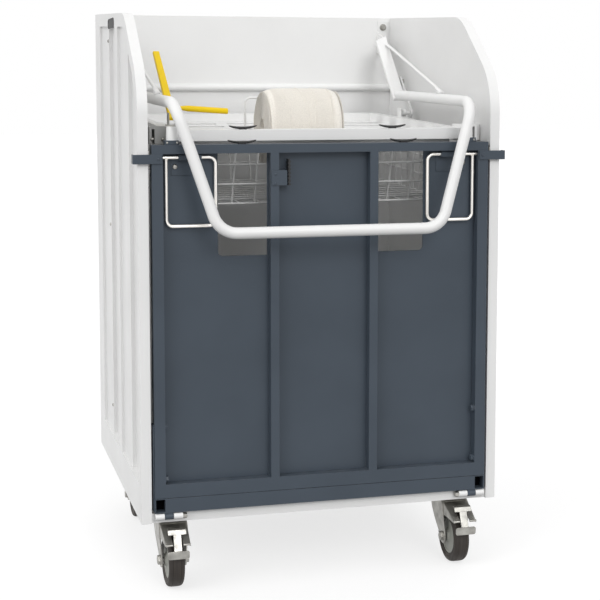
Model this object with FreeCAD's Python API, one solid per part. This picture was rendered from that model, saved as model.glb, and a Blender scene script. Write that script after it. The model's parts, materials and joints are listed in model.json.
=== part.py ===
"""Manual recycling baler on casters, in millimetres.

+X is the right hand of someone who stands in front, +Y runs from the door to the rear wall
and +Z is up. Shapes are built with Y = 0 at the front edges of the side walls and Z = 0 on
the floor, and save() moves them so that the origin is the middle of the footprint.
"""
import FreeCAD
import Part
import math
import os

V = FreeCAD.Vector
X_AXIS = V(1, 0, 0)
Y_AXIS = V(0, 1, 0)
Z_AXIS = V(0, 0, 1)

# ---- clearances -------------------------------------------------------------------------
fit = 0.05            # radial clearance of a turning or sliding fit
seat = 0.3            # gap between faces of pieces that move on each other
sheet = 2.0           # thin folded sheet
plate = 3.0           # flat plate
bend_step = 22.5      # degrees of a bend in one straight run
round_sides = 12      # flat sides of a round bar or hole

# ---- casters ----------------------------------------------------------------------------
wheel_d = 125.0
wheel_sides = 24
wheel_w = 37.0
tyre_wall_h = 7.0     # height of the tyre's sloped edge
tyre_edge_w = 8.0
hub_d = 84.0
hub_boss_d = 30.0
hub_boss_w = 43.4
hub_web_t = 10.0
hub_rim_w = 30.0
axle_d = 12.0
axle_af = 19.0
axle_head_w = 8.0
fork_wall = 4.0
fork_top_z = 160.0
fork_crown_h = 20.0
fork_crown_len = 60.0
fork_front = 46.0
fork_rear = 36.0
fork_lip = 6.0
fork_eye_r = 17.5
fork_flare = 28.0
caster_offset = 40.0
caster_inset = 80.0    # from a wall's outer face to the swivel
front_caster_y = 100.0
rear_caster_room = 98.0
caster_plate_x = 90.0
caster_plate_y = 105.0
race_d = 62.0
race_h = 3.5
pedal_w = 50.0
pedal_stem_w = 18.0
pedal_pin_d = 6.0
pedal_pin_y = 38.0
pedal_pin_drop = 8.0
pedal_len = 62.0
pedal_dip = 3.0
pedal_lean = 26.0
pedal_drop = 47.0
pedal_t = 3.0
pedal_barrel = 12.0
pedal_bar_w = 18.0
pad_len = 17.0

# ---- housing ----------------------------------------------------------------------------
outer_w = 850.0
wall_t = 23.0
skin_t = 1.5
side_depth = 748.0
base_z = 167.0
top_z = 1339.0
top_slope = 2.3
brow_slope = 38.0
brow_drop = 181.0      # from the walls' top to the foot of the sloped brow
brow_r = 150.0
crown_r = 120.0
rail_h = 32.0
bottom_rail_h = 85.0
front_stile_w = 35.0
mid_stile_room = 401.0
mid_stile_w = 50.0
rear_stile_w = 82.0
shallow_depth = 6.0
deep_depth = 15.0
field_step_share = 0.5
hand_hole_room = 315.0
hand_hole_len = 112.0
hand_hole_h = 22.0
hand_hole_drop = 24.0
rear_t = 17.0
rear_rail_w = 60.0
ledge_drop = 194.0
ledge_h = 20.0
ledge_out = 14.0
base_h = 22.0
base_rail_w = 45.0
base_front_y = 8.0
floor_t = 3.0
floor_gap = 2.0

# ---- door -------------------------------------------------------------------------------
door_margin = 30.0
door_front_y = -6.0
door_t = 30.0
door_z0 = 192.0
door_drop = 319.0      # from the walls' top to the door's top
post_w = 25.0
top_rail_h = 20.0
sill_h = 33.0
sill_gap = 1.0
low_rail_h = 31.0
mid_post_x = 117.0
mid_post_w = 20.0
tube_wall = 2.0
panel_recess = 24.0
panel_t = 2.0
window_gap = 3.0
window_w = 113.0
window_h = 252.0
window_r = 10.0
gusset_h = 202.0
gusset_t = 3.0
bolt_z = (268.0, 388.0)
bolt_af = 13.0
bolt_head_h = 6.0
hook_drop = 31.0
hook_h = 21.0
hook_reach = 12.0
hook_inner = 23.0
hook_return = 20.0

# ---- lock handles -----------------------------------------------------------------------
rod_d = 8.0
handle_y = 8.0
handle_in = 145.0
handle_out = 33.5
handle_h = 153.0
handle_drop = 28.0
handle_bend = 15.0
handle_proud = 2.5
guide_in = 113.0
guide_len = 52.0
guide_h = 14.0
guide_r = 3.0
guide_back_drop = 68.0
guide_back_in = 8.0
guide_back_out = 14.0
keeper_h = 30.0
keeper_y = 24.0
keeper_play = 2.0

# ---- hinge ------------------------------------------------------------------------------
hinge_y = -2.0
hinge_z = 183.0
knuckle_d = 14.0
knuckle_w = 21.0
hinge_pin_d = 8.0
pin_head_w = 9.0
pin_head_af = 12.0
hinge_tab_t = 9.0
hinge_tab_out = 3.0

# ---- bail -------------------------------------------------------------------------------
tube_d = 26.0
tube_t = 2.0
pivot_room = 33.0      # from the pivots to the rear wall
pivot_drop = 77.0
pivot_d = 12.0
pivot_af = 18.0
pivot_inner_h = 4.0
pivot_outer_h = 7.0
bracket_foot_w = 30.0
bracket_ear = 16.0
bracket_half = 22.0
bracket_rise = 40.0
bracket_r = 12.0
bracket_top = 8.0
screw_af = 16.0
screw_h = 8.0
screw_drop = 26.0
bail_side_inset = 77.0
bail_end_room = 85.0
bail_end_drop = 134.0
bail_front_y = -25.0
bail_fall = 16.0       # from the tubes' rear ends to their front bends
grip_y = -70.0
grip_drop = 442.0
grip_x = 215.0
bail_top_bend = 60.0
bail_low_bend = 55.0
arm_t = 3.0
arm_w = 44.0
arm_flange = 10.0
flange_start = 24.0
flange_stop = 30.0
arm_foot = 14.0
nose_y = 14.0
nose_up = 16.0
nose_down = 18.0
link_pin_room = 129.0
link_pin_drop = 101.0
link_y = 85.0
link_z = 83.0
link_t = 5.0
link_w = 24.0
link_pin_d = 10.0
link_af = 16.0
link_head_h = 6.0
link_inner_h = 3.0
link_play = 1.0
boss_d = 20.0
boss_half = 14.0
boss_rise = 12.0
link_clip = 0.4       # share of its half width taken off at a link's corners
brace_d = 8.0
brace_front_y = 160.0
brace_back = 26.0
brace_low = 12.0

# ---- ram --------------------------------------------------------------------------------
ram_side_gap = 52.0    # from the ram to the side walls' inner faces
ram_y0 = 40.0
ram_rear_gap = 36.0
ram_drop = 313.0
ram_h = 25.0
ram_rail_w = 25.0
ram_tilt = 2.0
slat_w = 62.0
slat_h = 16.0
slat_drop = 4.0
slat_count = 6
spool_d = 188.0
spool_len = 184.0
spool_y = 235.0
spool_lift = 24.0
spool_side_gap = 8.0
spine_w = 30.0
spool_core_d = 40.0
spool_shoulder = 14.0
spool_sides = 30
cradle_wire_d = 6.0
cradle_x = 62.0
cradle_hook = 22.0
guard_back = 117.0
guard_h = 62.0
guard_x0 = -106.0
guard_x1 = 96.0
guard_bend = 14.0
wire_d = 4.6
wire_sides = 4
basket_inset = 29.0
basket_count = 8
basket_row = 94.0
basket_room = 80.0     # free height under the spool
basket_top_gap = 1.0
wire_lay = 0.7         # how far a crossing wire lies over, as a share of its width
basket_lean = 52.0
cleat_x = 178.0
cleat_len = 66.0
cleat_h = 9.0
cleat_t = 12.0
cleat_inset = 6.0
guide_block_y = 14.0
guide_block_len = 60.0
guide_block_low = 6.0
guide_block_up = 8.0
guide_slot_w = 6.0
guide_slot_len = 30.0
guide_relief_w = 11.0
guide_relief_len = 12.0

# ---- hand levers on the ram -------------------------------------------------------------
lever_inset = 25.0
lever_y = 190.0
lever_lift = 27.0
lever_w = 15.0
lever_len = 272.0
lever_angle = 36.0
lever_depth = 12.0
lever_pin_d = 6.0
lever_tip = 18.0
lever_chamfer = 9.0
lever_heel = 8.0
ear_half = 12.0
ear_top = 9.0
lever_foot_half = 14.0
pull_inset = 51.0
pull_y = 222.0
pull_lift = 47.0
pull_len = 122.0
pull_d = 14.0
pull_eye_d = 20.0
pull_eye_cut = 2.0
pull_neck = 6.0
post_d = 10.0
post_foot_half = 11.0
post_tip = 9.0

# ---- twine cutter -----------------------------------------------------------------------
cutter_drop = 34.0
cutter_h = 52.0
cutter_x = -89.0       # the folded plate's outer face
cutter_gap = 6.0
blade_front = 4.0
blade_back = 8.0
blade_low = 6.0
blade_up = 14.0
blade_hook = 18.0
blade_step = 26.0
blade_throat = 12.0

# ---- values that follow -----------------------------------------------------------------
half_w = outer_w / 2
inner_x = half_w - wall_t
caster_x = half_w - caster_inset
rear_caster_y = side_depth - rear_caster_room
brow_z = top_z - brow_drop
ledge_z = top_z - ledge_drop
mid_stile_y = side_depth - mid_stile_room
hand_hole_y = side_depth - hand_hole_room
door_x = half_w - door_margin
door_z1 = top_z - door_drop
door_back_y = door_front_y + door_t
post_in_x = door_x - post_w
floor_z = base_z + base_h + floor_t
wheel_r = wheel_d / 2
hook_x = half_w + hook_reach
hook_z = door_z1 - hook_drop
hook_inner_x = door_x - hook_inner
handle_in_x = door_x - handle_in
handle_out_x = door_x - handle_out
handle_z1 = door_z1 - handle_drop
handle_z0 = handle_z1 - handle_h
guide_x0 = door_x - guide_in
guide_x1 = guide_x0 + guide_len
window_x0 = mid_post_x + mid_post_w / 2 + window_gap
window_x1 = window_x0 + window_w
window_z0 = door_z1 - window_h
cutter_z1 = door_z1 - cutter_drop
cutter_z0 = cutter_z1 - cutter_h
pivot_y = side_depth - pivot_room
pivot_z = top_z - pivot_drop
bail_side_x = half_w - bail_side_inset
bail_end_y = pivot_y - bail_end_room
bail_end_z = pivot_z - bail_end_drop
bail_front_z = bail_end_z - bail_fall
grip_z = pivot_z - grip_drop
link_pin_y = pivot_y - link_pin_room
link_pin_z = pivot_z - link_pin_drop
link_low_y = link_pin_y - link_y
link_low_z = link_pin_z - link_z
bail_reach_y = grip_y - tube_d / 2
middle_y = (bail_reach_y + side_depth + rear_t) / 2
web_x = bail_side_x + tube_d / 2
link_x = web_x + arm_t + seat
ram_x = inner_x - ram_side_gap
ram_y1 = side_depth - ram_rear_gap
ram_z0 = top_z - ram_drop
ram_top = ram_z0 + ram_h
slat_top = ram_top - slat_drop
spool_z = ram_z0 + spool_lift
guard_y = spool_y + guard_back
basket_x = ram_x - basket_inset
basket_z = spool_z - spool_d / 2 - basket_room
lever_x = -ram_x + lever_inset
lever_z = ram_top + lever_lift
pull_x = -ram_x + pull_inset
pull_z = ram_top + pull_lift
panel_y = door_front_y + panel_recess
sling_r = (spool_d / 2 + cradle_wire_d / 2 + seat) / math.cos(math.radians(bend_step / 2))


# ---- helpers ----------------------------------------------------------------------------
def save(name, shape):
    moved = shape.copy()
    moved.translate(V(0, -middle_y, 0))
    moved.exportStep("parts/%s.step" % name)


def box(x, y, z):
    """A box from three (low, high) pairs."""
    low, high = V(min(x), min(y), min(z)), V(max(x), max(y), max(z))
    size = high - low
    return Part.makeBox(size.x, size.y, size.z, low)


def polygon_ring(centre, along, d, sides):
    """A regular polygon across an axis, its corners on the circle."""
    across = along.cross(X_AXIS if abs(along.x) < 0.9 else Y_AXIS).normalize()
    corners = []
    for k in range(sides):
        turn = FreeCAD.Rotation(along, 360 * (k + 0.5) / sides)
        corners.append(centre + turn.multVec(across) * (d / 2))
    return Part.makePolygon(corners + corners[:1])


def rod(start, end, d):
    """A round bar, drawn with flat sides to keep the whole part light."""
    start, end = V(*start), V(*end)
    ring = polygon_ring(start, (end - start).normalize(), d, round_sides)
    return Part.Face(ring).extrude(end - start)


def across_flats(d):
    """The corner diameter of a bar or hole that measures d between its flat sides."""
    return d / math.cos(math.pi / round_sides)


def hole(start, end, d):
    return rod(start, end, across_flats(d))


def fuse(shapes):
    shapes = list(shapes)
    whole = shapes[0] if len(shapes) == 1 else shapes[0].multiFuse(shapes[1:])
    return whole.removeSplitter()


def both_sides(shape):
    return [shape, shape.mirror(V(0, 0, 0), X_AXIS)]


def rounded_wire(points, radii):
    """A closed outline of straight runs and tangent arcs, one radius for each corner."""
    points = [V(*p) for p in points]
    count = len(points)
    starts, ends, middles = [], [], []
    for i, p in enumerate(points):
        if radii[i] <= 0:
            starts.append(p)
            ends.append(p)
            middles.append(None)
            continue
        back = (points[i - 1] - p).normalize()
        ahead = (points[(i + 1) % count] - p).normalize()
        half = back.getAngle(ahead) / 2
        starts.append(p + back * (radii[i] / math.tan(half)))
        ends.append(p + ahead * (radii[i] / math.tan(half)))
        inward = (back + ahead).normalize()
        middles.append(p + inward * (radii[i] / math.sin(half) - radii[i]))
    edges = []
    for i in range(count):
        if middles[i] is not None:
            edges.append(Part.Arc(starts[i], middles[i], ends[i]).toShape())
        after = starts[(i + 1) % count]
        if (after - ends[i]).Length > 1e-6:
            edges.append(Part.LineSegment(ends[i], after).toShape())
    return Part.Wire(edges)


def prism(points, radii, along):
    """A closed rounded outline pushed along a vector."""
    return Part.Face(rounded_wire(points, radii)).extrude(V(*along))


def bend_points(points, radii):
    """Corner points, each bend split into short straight runs that keep the facets few."""
    points = [V(*p) for p in points]
    path = points[:1]
    for before, p, after, radius in zip(points, points[1:], points[2:], radii[1:]):
        back, ahead = (before - p).normalize(), (after - p).normalize()
        half = back.getAngle(ahead) / 2
        if radius <= 0:
            path.append(p)
            continue
        middle = p + (back + ahead).normalize() * (radius / math.sin(half))
        start = p + back * (radius / math.tan(half)) - middle
        turn = math.degrees(math.pi - 2 * half)
        count = max(2, round(turn / bend_step))
        axis = ahead.cross(back)
        for i in range(count + 1):
            arm = FreeCAD.Rotation(axis, turn * i / count).multVec(start)
            if (middle + arm - path[-1]).Length > fit:
                path.append(middle + arm)
    return path + points[-1:]


def bent_rod(points, radii, d, sides=0):
    """A bar along a bent path."""
    path = bend_points(points, radii)
    ring = polygon_ring(path[0], (path[1] - path[0]).normalize(), d, sides or round_sides)
    solid = Part.makePolygon(path).makePipeShell([ring], True, False, 1)
    if solid.Volume < 0:
        solid.reverse()
    return solid


def flat_wire(points, radii, d):
    """A thin wire with four flat sides that measure d across, so it seats as a round one."""
    return bent_rod(points, radii, d * math.sqrt(2), wire_sides)


def bent_tube(points, radii, d, wall):
    outside = bent_rod(points, radii, across_flats(d))
    return outside.cut(bent_rod(points, radii, across_flats(d - 2 * wall)))


def square_tube(x, y, z, along, wall):
    """A box hollowed from end to end along one axis."""
    sizes = {"x": x, "y": y, "z": z}
    inside = {}
    for axis, (low, high) in sizes.items():
        grow = 1.0 if axis == along else -wall
        inside[axis] = (low - grow, high + grow)
    return box(x, y, z).cut(box(inside["x"], inside["y"], inside["z"]))


def faceted_ring(points, centre, sides):
    """A ring with flat facets about an axis along X, from points of width and radius."""
    rings = []
    for across, radius in points:
        ring = []
        for k in range(sides):
            a = 2 * math.pi * k / sides
            ring.append(centre + V(across, radius * math.cos(a), radius * math.sin(a)))
        rings.append(ring)
    faces = []
    for ring, after in zip(rings, rings[1:] + rings[:1]):
        for k in range(sides):
            m = (k + 1) % sides
            corners = [ring[k], ring[m], after[m], after[k], ring[k]]
            faces.append(Part.Face(Part.makePolygon(corners)))
    solid = Part.Solid(Part.Shell(faces))
    if solid.Volume < 0:
        solid.reverse()
    return solid


def hex_head(centre, along, across_flats, height):
    """A hexagon head that stands on the point and grows along an axis."""
    centre, along = V(*centre), V(*along)
    side = V(0, 0, 1) if abs(along.z) < 0.5 else V(1, 0, 0)
    other = along.cross(side)
    r = across_flats / math.sqrt(3)
    corners = []
    for k in range(6):
        a = math.radians(60 * k)
        corners.append(centre + side * (r * math.cos(a)) + other * (r * math.sin(a)))
    return Part.Face(Part.makePolygon(corners + corners[:1])).extrude(along * height)


# ---- side walls, rear wall and base ------------------------------------------------------
def side_outline(inset):
    """Corner points of the side wall in Y and Z, moved in by an amount."""
    top_rate = math.tan(math.radians(top_slope))
    brow_rate = math.tan(math.radians(brow_slope))
    top_drop = inset / math.cos(math.radians(top_slope))
    brow_drop = inset / math.cos(math.radians(brow_slope))
    front, rear = inset, side_depth - inset
    low = base_z + inset

    def top_at(y):
        return top_z - (side_depth - y) * top_rate - top_drop

    def brow_at(y):
        return brow_z + y * brow_rate - brow_drop

    meet = (top_at(0) - brow_at(0)) / (brow_rate - top_rate)
    return [(front, low), (front, brow_at(front)), (meet, top_at(meet)),
            (rear, top_at(rear)), (rear, low)]


def side_slab(inset, x0, x1):
    points = [(x0, y, z) for y, z in side_outline(inset)]
    radii = [0, brow_r - inset, crown_r - inset, 0, 0]
    return prism(points, radii, (x1 - x0, 0, 0))


def field(y0, y1, depth):
    """A recess in the outer face between two stiles, under the top rail."""
    region = side_slab(rail_h, half_w - depth, half_w + 1)
    z0 = base_z + bottom_rail_h
    return region.common(box((half_w - depth, half_w + 1), (y0, y1), (z0, top_z)))


def side_fields():
    """Four recesses: a shallow rear half and a deep front half in each bay."""
    bays = ((front_stile_w, mid_stile_y - mid_stile_w / 2),
            (mid_stile_y + mid_stile_w / 2, side_depth - rear_stile_w))
    cuts = []
    for y0, y1 in bays:
        step_y = y0 + (y1 - y0) * field_step_share
        cuts.append(field(y0, step_y, deep_depth))
        cuts.append(field(step_y, y1, shallow_depth))
    return cuts


def hand_hole():
    drop = (side_depth - hand_hole_y) * math.tan(math.radians(top_slope))
    z = top_z - drop - hand_hole_drop
    r = hand_hole_h / 2
    half = hand_hole_len / 2
    y0, y1 = hand_hole_y - half, hand_hole_y + half
    corners = [(half_w - skin_t - 1, y0, z - r), (half_w - skin_t - 1, y1, z - r),
               (half_w - skin_t - 1, y1, z + r), (half_w - skin_t - 1, y0, z + r)]
    return prism(corners, [r - 0.01] * 4, (skin_t + 2, 0, 0))


def side_wall():
    """The right wall: a skin on the chamber side and a hollow frame of stiles and rails."""
    slab = side_slab(0, inner_x, half_w)
    cavity = side_slab(skin_t, inner_x + skin_t, half_w - skin_t)
    for cut in side_fields():
        grown = cut.BoundBox
        block = box((grown.XMin - skin_t, half_w + 1), (grown.YMin - skin_t, grown.YMax + skin_t),
                    (grown.ZMin - skin_t, grown.ZMax + skin_t))
        cavity = cavity.cut(block)
    solid = slab.cut(cavity)
    for cut in side_fields():
        solid = solid.cut(cut)
    return solid.cut(hand_hole())


def rear_wall():
    """A skin on the chamber side and a hollow frame of stiles and rails behind it."""
    y0, y1 = side_depth, side_depth + rear_t
    t = skin_t
    slab = box((-half_w, half_w), (y0, y1), (base_z, top_z))
    cavity = box((-half_w + t, half_w - t), (y0 + t, y1 - t), (base_z + t, top_z - t))
    mid = rear_rail_w / 2
    z_mid = (base_z + top_z) / 2
    for x0, x1 in ((-half_w + rear_rail_w, -mid), (mid, half_w - rear_rail_w)):
        for z0, z1 in ((base_z + rear_rail_w, z_mid - mid), (z_mid + mid, top_z - rear_rail_w)):
            slab = slab.cut(box((x0, x1), (y0 + t, y1 + 1), (z0, z1)))
            cavity = cavity.cut(box((x0 - t, x1 + t), (y0, y1), (z0 - t, z1 + t)))
    return slab.cut(cavity)


def ledge_rail():
    """A half-round rail along the rear wall, a little short of both side walls."""
    x = inner_x - plate
    y = side_depth
    r = ledge_h / 2
    corners = [(-x, y, ledge_z - r), (-x, y - ledge_out, ledge_z - r),
               (-x, y - ledge_out, ledge_z + r), (-x, y, ledge_z + r)]
    return prism(corners, [0, r - 0.5, r - 0.5, 0], (2 * x, 0, 0))


def base_frame():
    """Channels round the bottom with a cross member over each pair of casters."""
    z = (base_z, base_z + base_h)
    outer = box((-inner_x, inner_x), (base_front_y, side_depth), z)
    w = base_rail_w
    y_front = front_caster_y + caster_plate_y / 2 + w
    y_rear = rear_caster_y - caster_plate_y / 2 - w
    x_in = caster_x - caster_plate_x / 2 - w / 2
    window = box((-x_in, x_in), (base_front_y + w, side_depth - w), (base_z - 1, z[1] + 1))
    bay = box((-inner_x + w, inner_x - w), (y_front, y_rear), (base_z - 1, z[1] + 1))
    under = box((-inner_x + tube_wall, inner_x - tube_wall),
                (base_front_y + tube_wall, side_depth - tube_wall),
                (base_z + tube_wall, z[1] - tube_wall))
    lip_x = box((-x_in - tube_wall, x_in + tube_wall),
                (base_front_y + w - tube_wall, side_depth - w + tube_wall), z)
    lip_y = box((-inner_x + w - tube_wall, inner_x - w + tube_wall),
                (y_front - tube_wall, y_rear + tube_wall), z)
    frame = outer.cut(under.cut(lip_x).cut(lip_y)).cut(window).cut(bay)
    return fuse([frame] + base_knuckles())


def floor_plate():
    y = (door_back_y + floor_gap, side_depth)
    return box((-inner_x, inner_x), y, (base_z + base_h, floor_z))


# ---- door -------------------------------------------------------------------------------
def door_frame():
    """Posts, rails and two middle posts, welded from square tube."""
    y = (door_front_y, door_back_y)
    low = door_z0 + sill_h + sill_gap
    pieces = []
    post = square_tube((post_in_x, door_x), y, (low, door_z1), "z", tube_wall)
    slot = hole((post_in_x - 1, handle_y, handle_z1), (door_x + 1, handle_y, handle_z1),
                rod_d + 2 * fit)
    cap = box((post_in_x, door_x), y, (door_z1 - tube_wall, door_z1))
    pieces += both_sides(post.fuse(cap).cut(slot))
    across = (-post_in_x, post_in_x)
    pieces.append(square_tube(across, y, (door_z1 - top_rail_h, door_z1), "x", tube_wall))
    pieces.append(square_tube(across, y, (low, low + low_rail_h), "x", tube_wall))
    upright = square_tube((mid_post_x - mid_post_w / 2, mid_post_x + mid_post_w / 2),
                          (door_front_y, panel_y),
                          (low + low_rail_h, door_z1 - top_rail_h), "z", tube_wall)
    pieces += both_sides(upright)
    return fuse(pieces)


def window_cut(x0, x1):
    z1 = door_z1 - top_rail_h + 1
    corners = [(x0, panel_y - 1, window_z0), (x1, panel_y - 1, window_z0),
               (x1, panel_y - 1, z1), (x0, panel_y - 1, z1)]
    return prism(corners, [0.5, window_r, 0, 0], (0, panel_t + 2, 0))


def door_panel():
    z = (door_z0 + sill_h + sill_gap + low_rail_h, door_z1 - top_rail_h)
    panel = box((-post_in_x, post_in_x), (panel_y, panel_y + panel_t), z)
    for cut in both_sides(window_cut(window_x0, window_x1)):
        panel = panel.cut(cut)
    return panel


def door_sill():
    """The lowest tube, with a short open tube at each end that faces forward."""
    y = (door_front_y, door_back_y)
    z = (door_z0, door_z0 + sill_h)
    pieces = [square_tube((-post_in_x, post_in_x), y, z, "x", tube_wall)]
    pieces += both_sides(square_tube((post_in_x, door_x), y, z, "y", tube_wall))
    return fuse(pieces + door_knuckles())


def door_gussets():
    y = (door_front_y + 4, door_back_y - 2)
    z = (door_z0 + 3, door_z0 + gusset_h)
    return both_sides(box((door_x, door_x + gusset_t), y, z))


def door_bolts():
    bolts = []
    y = door_front_y + door_t / 3
    for z in bolt_z:
        bolts += both_sides(hex_head((post_in_x, y, z), (-1, 0, 0), bolt_af, bolt_head_h))
    return bolts


def door_hooks():
    """Tongues that reach past the side walls, their ends bent back outside them."""
    y = door_front_y
    z0 = hook_z - hook_h / 2
    points = [(hook_inner_x, y, z0), (hook_inner_x, y - plate, z0), (hook_x, y - plate, z0),
              (hook_x, y + hook_return, z0), (hook_x - plate, y + hook_return, z0),
              (hook_x - plate, y, z0)]
    return both_sides(prism(points, [0, 0, plate + 1, 0, 0, 1], (0, 0, hook_h)))


def handle_guides():
    """A saddle over each handle rod on a backing plate."""
    x = (guide_x0, guide_x1)
    z = (handle_z1 - guide_h / 2, handle_z1 + guide_h / 2)
    y_front = handle_y - rod_d / 2 - sheet
    saddle = prism([(guide_x0, panel_y - sheet, z[0]), (guide_x0, y_front, z[0]),
                    (guide_x0, y_front, z[1]), (guide_x0, panel_y - sheet, z[1])],
                   [0, guide_r, guide_r, 0], (guide_len, 0, 0))
    back = box((x[0] - guide_back_in, x[1] + guide_back_out), (panel_y - sheet, panel_y),
               (door_z1 - guide_back_drop, door_z1 - top_rail_h))
    bore = hole((x[0] - 1, handle_y, handle_z1), (x[1] + 1, handle_y, handle_z1),
                rod_d + 2 * fit)
    return both_sides(fuse([saddle, back]).cut(bore))


def lock_handle(sign):
    """A D-shaped bent rod: the top rod is the bolt, the outer leg butts against it."""
    tip = door_x + handle_proud
    x0, x1 = handle_in_x, handle_out_x
    y, z0, z1 = handle_y, handle_z0, handle_z1
    loop = [(tip, y, z1), (x0, y, z1), (x0, y, z0), (x1, y, z0), (x1, y, z1 - rod_d / 4)]
    radii = [0, handle_bend, handle_bend, handle_bend, 0]
    solid = fuse([bent_rod(loop, radii, rod_d), rod((x1, y, z1 - rod_d), (x1, y, z1), rod_d)])
    return solid if sign > 0 else solid.mirror(V(0, 0, 0), X_AXIS)


def keepers():
    """Plates on the inner faces of the walls, with a hole for each handle's tip."""
    x = (inner_x - plate, inner_x)
    z = (handle_z1 - keeper_h / 2, handle_z1 + keeper_h / 2)
    bore = hole((x[0] - 1, handle_y + 1, handle_z1), (x[1] + 1, handle_y + 1, handle_z1),
                rod_d + keeper_play)
    return both_sides(box(x, (1, 1 + keeper_y), z).cut(bore))


def twine_cutter():
    """A foot on the left middle post, folded back towards the panel."""
    z = (cutter_z0, cutter_z1)
    x0 = -mid_post_x - mid_post_w / 2 + tube_wall
    foot = box((x0, cutter_x), (door_front_y - sheet, door_front_y), z)
    fold = box((cutter_x - sheet, cutter_x), (door_front_y - sheet, panel_y - cutter_gap), z)
    return fuse([foot, fold])


def cutter_blade():
    """A hooked blade beside the folded bracket."""
    x = cutter_x
    y0, y1 = door_front_y - blade_front, panel_y - blade_back
    z0, z1 = cutter_z0 - blade_low, cutter_z1 + blade_up
    points = [(x, y0, z0), (x, y1, z0), (x, y1, z1), (x, y0 + blade_throat * 2 / 3, z1),
              (x, y0 + blade_throat, z1 - blade_hook), (x, y0, z1 - blade_step)]
    return prism(points, [3, 0, 0, 1, 3, 1], (sheet, 0, 0))


def cleat(x, y, z):
    """A double horn: two tips that rise from a foot in the middle."""
    half = cleat_len / 2
    points = [(x - half, y, z + cleat_h), (x - half * 0.55, y, z + cleat_h * 0.3),
              (x - half * 0.35, y, z), (x + half * 0.35, y, z),
              (x + half * 0.55, y, z + cleat_h * 0.3), (x + half, y, z + cleat_h),
              (x + half * 0.5, y, z + cleat_h * 0.9), (x - half * 0.5, y, z + cleat_h * 0.9)]
    return prism(points, [0, 8, 0, 0, 8, 0, 4, 4], (0, cleat_t, 0))


def door_cleats():
    return both_sides(cleat(cleat_x + cleat_t, door_front_y + cleat_inset, door_z1))


# ---- hinges -----------------------------------------------------------------------------
def knuckle(x0, x1, bore, tab_y, tab_z):
    barrel = rod((x0, hinge_y, hinge_z), (x1, hinge_y, hinge_z), knuckle_d)
    tab = box((x0, x1), tab_y, tab_z)
    inside = hole((x0 - 1, hinge_y, hinge_z), (x1 + 1, hinge_y, hinge_z), bore)
    return fuse([barrel, tab]).cut(inside)


def door_knuckles():
    x1 = door_x - knuckle_w
    piece = knuckle(x1 - knuckle_w + seat, x1 - seat, hinge_pin_d + 2 * fit,
                    (hinge_y - hinge_tab_out, hinge_y - hinge_tab_out + hinge_tab_t),
                    (hinge_z, door_z0))
    return both_sides(piece)


def base_knuckles():
    pieces = []
    for x1 in (door_x, door_x - 2 * knuckle_w):
        piece = knuckle(x1 - knuckle_w, x1, hinge_pin_d, (hinge_y, base_front_y),
                        (hinge_z - knuckle_d / 2, hinge_z))
        pieces += both_sides(piece)
    return pieces


def hinge_pins():
    x_head = door_x - 3 * knuckle_w
    shaft = rod((x_head, hinge_y, hinge_z), (door_x, hinge_y, hinge_z), hinge_pin_d)
    head = hex_head((x_head, hinge_y, hinge_z), (-1, 0, 0), pin_head_af, pin_head_w)
    return both_sides(fuse([shaft, head]))


# ---- bail -------------------------------------------------------------------------------
def bail_tube():
    end, front = (bail_end_y, bail_end_z), (bail_front_y, bail_front_z)
    x = bail_side_x
    points = [(-x, *end), (-x, *front), (-grip_x, grip_y, grip_z), (grip_x, grip_y, grip_z),
              (x, *front), (x, *end)]
    radii = [0, bail_top_bend, bail_low_bend, bail_low_bend, bail_top_bend, 0]
    return bent_tube(points, radii, tube_d, tube_t)


def bail_arms():
    """Folded arms from the pivots to the tube ends, each with a nose for its link."""
    along = V(0, bail_end_y - pivot_y, bail_end_z - pivot_z).normalize()
    across = V(0, -along.z, along.y)
    if across.y > 0:
        across = across * -1
    top = V(web_x, pivot_y, pivot_z)
    low = V(web_x, bail_end_y, bail_end_z)
    half = arm_w / 2
    nose = V(web_x, link_pin_y, link_pin_z)
    a = top + across * -half - along * half
    b = top + across * half - along * half
    c = nose + V(0, -nose_y, nose_up)
    d = nose + V(0, -nose_y, -nose_down)
    e = low + across * half + along * arm_foot
    f = low + across * -half + along * arm_foot
    points = [tuple(p) for p in (a, b, c, d, e, f)]
    web = prism(points, [half - 1, half - 1, 0, 0, 0, 0], (arm_t, 0, 0))
    start = top + across * -half + along * flange_start
    end = f - along * flange_stop
    edge = [start, end, end + across * arm_t, start + across * arm_t]
    flange = prism([tuple(p) for p in edge], [0, 0, 0, 0], (-arm_flange, 0, 0))
    solid = fuse([web, flange])
    for y, z, d in ((pivot_y, pivot_z, pivot_d), (link_pin_y, link_pin_z, link_pin_d)):
        play = 2 * fit if d == pivot_d else 0
        solid = solid.cut(hole((web_x - 1, y, z), (web_x + arm_t + 1, y, z), d + play))
    return both_sides(solid)


def bail_braces():
    """Thin rods from the arms' tops down to the side tubes."""
    rate = (bail_end_z - bail_front_z) / (bail_end_y - bail_front_y)
    z = bail_front_z + (brace_front_y - bail_front_y) * rate + tube_d / 2
    x = web_x - brace_d / 2
    start = (x, pivot_y - brace_back, pivot_z - brace_low)
    end = (bail_side_x + tube_t, brace_front_y, z + brace_d / 2)
    return both_sides(rod(start, end, brace_d))


def pivot_brackets():
    """A foot on the rear wall and an ear beside the arm."""
    x0 = web_x + arm_t + seat
    y1 = side_depth
    low, high = pivot_z - bracket_half, pivot_z + bracket_half
    foot = box((x0, x0 + bracket_foot_w), (y1 - plate, y1), (low, top_z - bracket_top))
    ear_pts = [(x0, y1, low), (x0, pivot_y - bracket_ear, low),
               (x0, pivot_y - bracket_ear, high), (x0, y1, pivot_z + bracket_rise)]
    ear = prism(ear_pts, [0, bracket_r, bracket_r, 0], (plate, 0, 0))
    bore = hole((x0 - 1, pivot_y, pivot_z), (x0 + plate + 1, pivot_y, pivot_z), pivot_d)
    return both_sides(fuse([foot, ear]).cut(bore))


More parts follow.
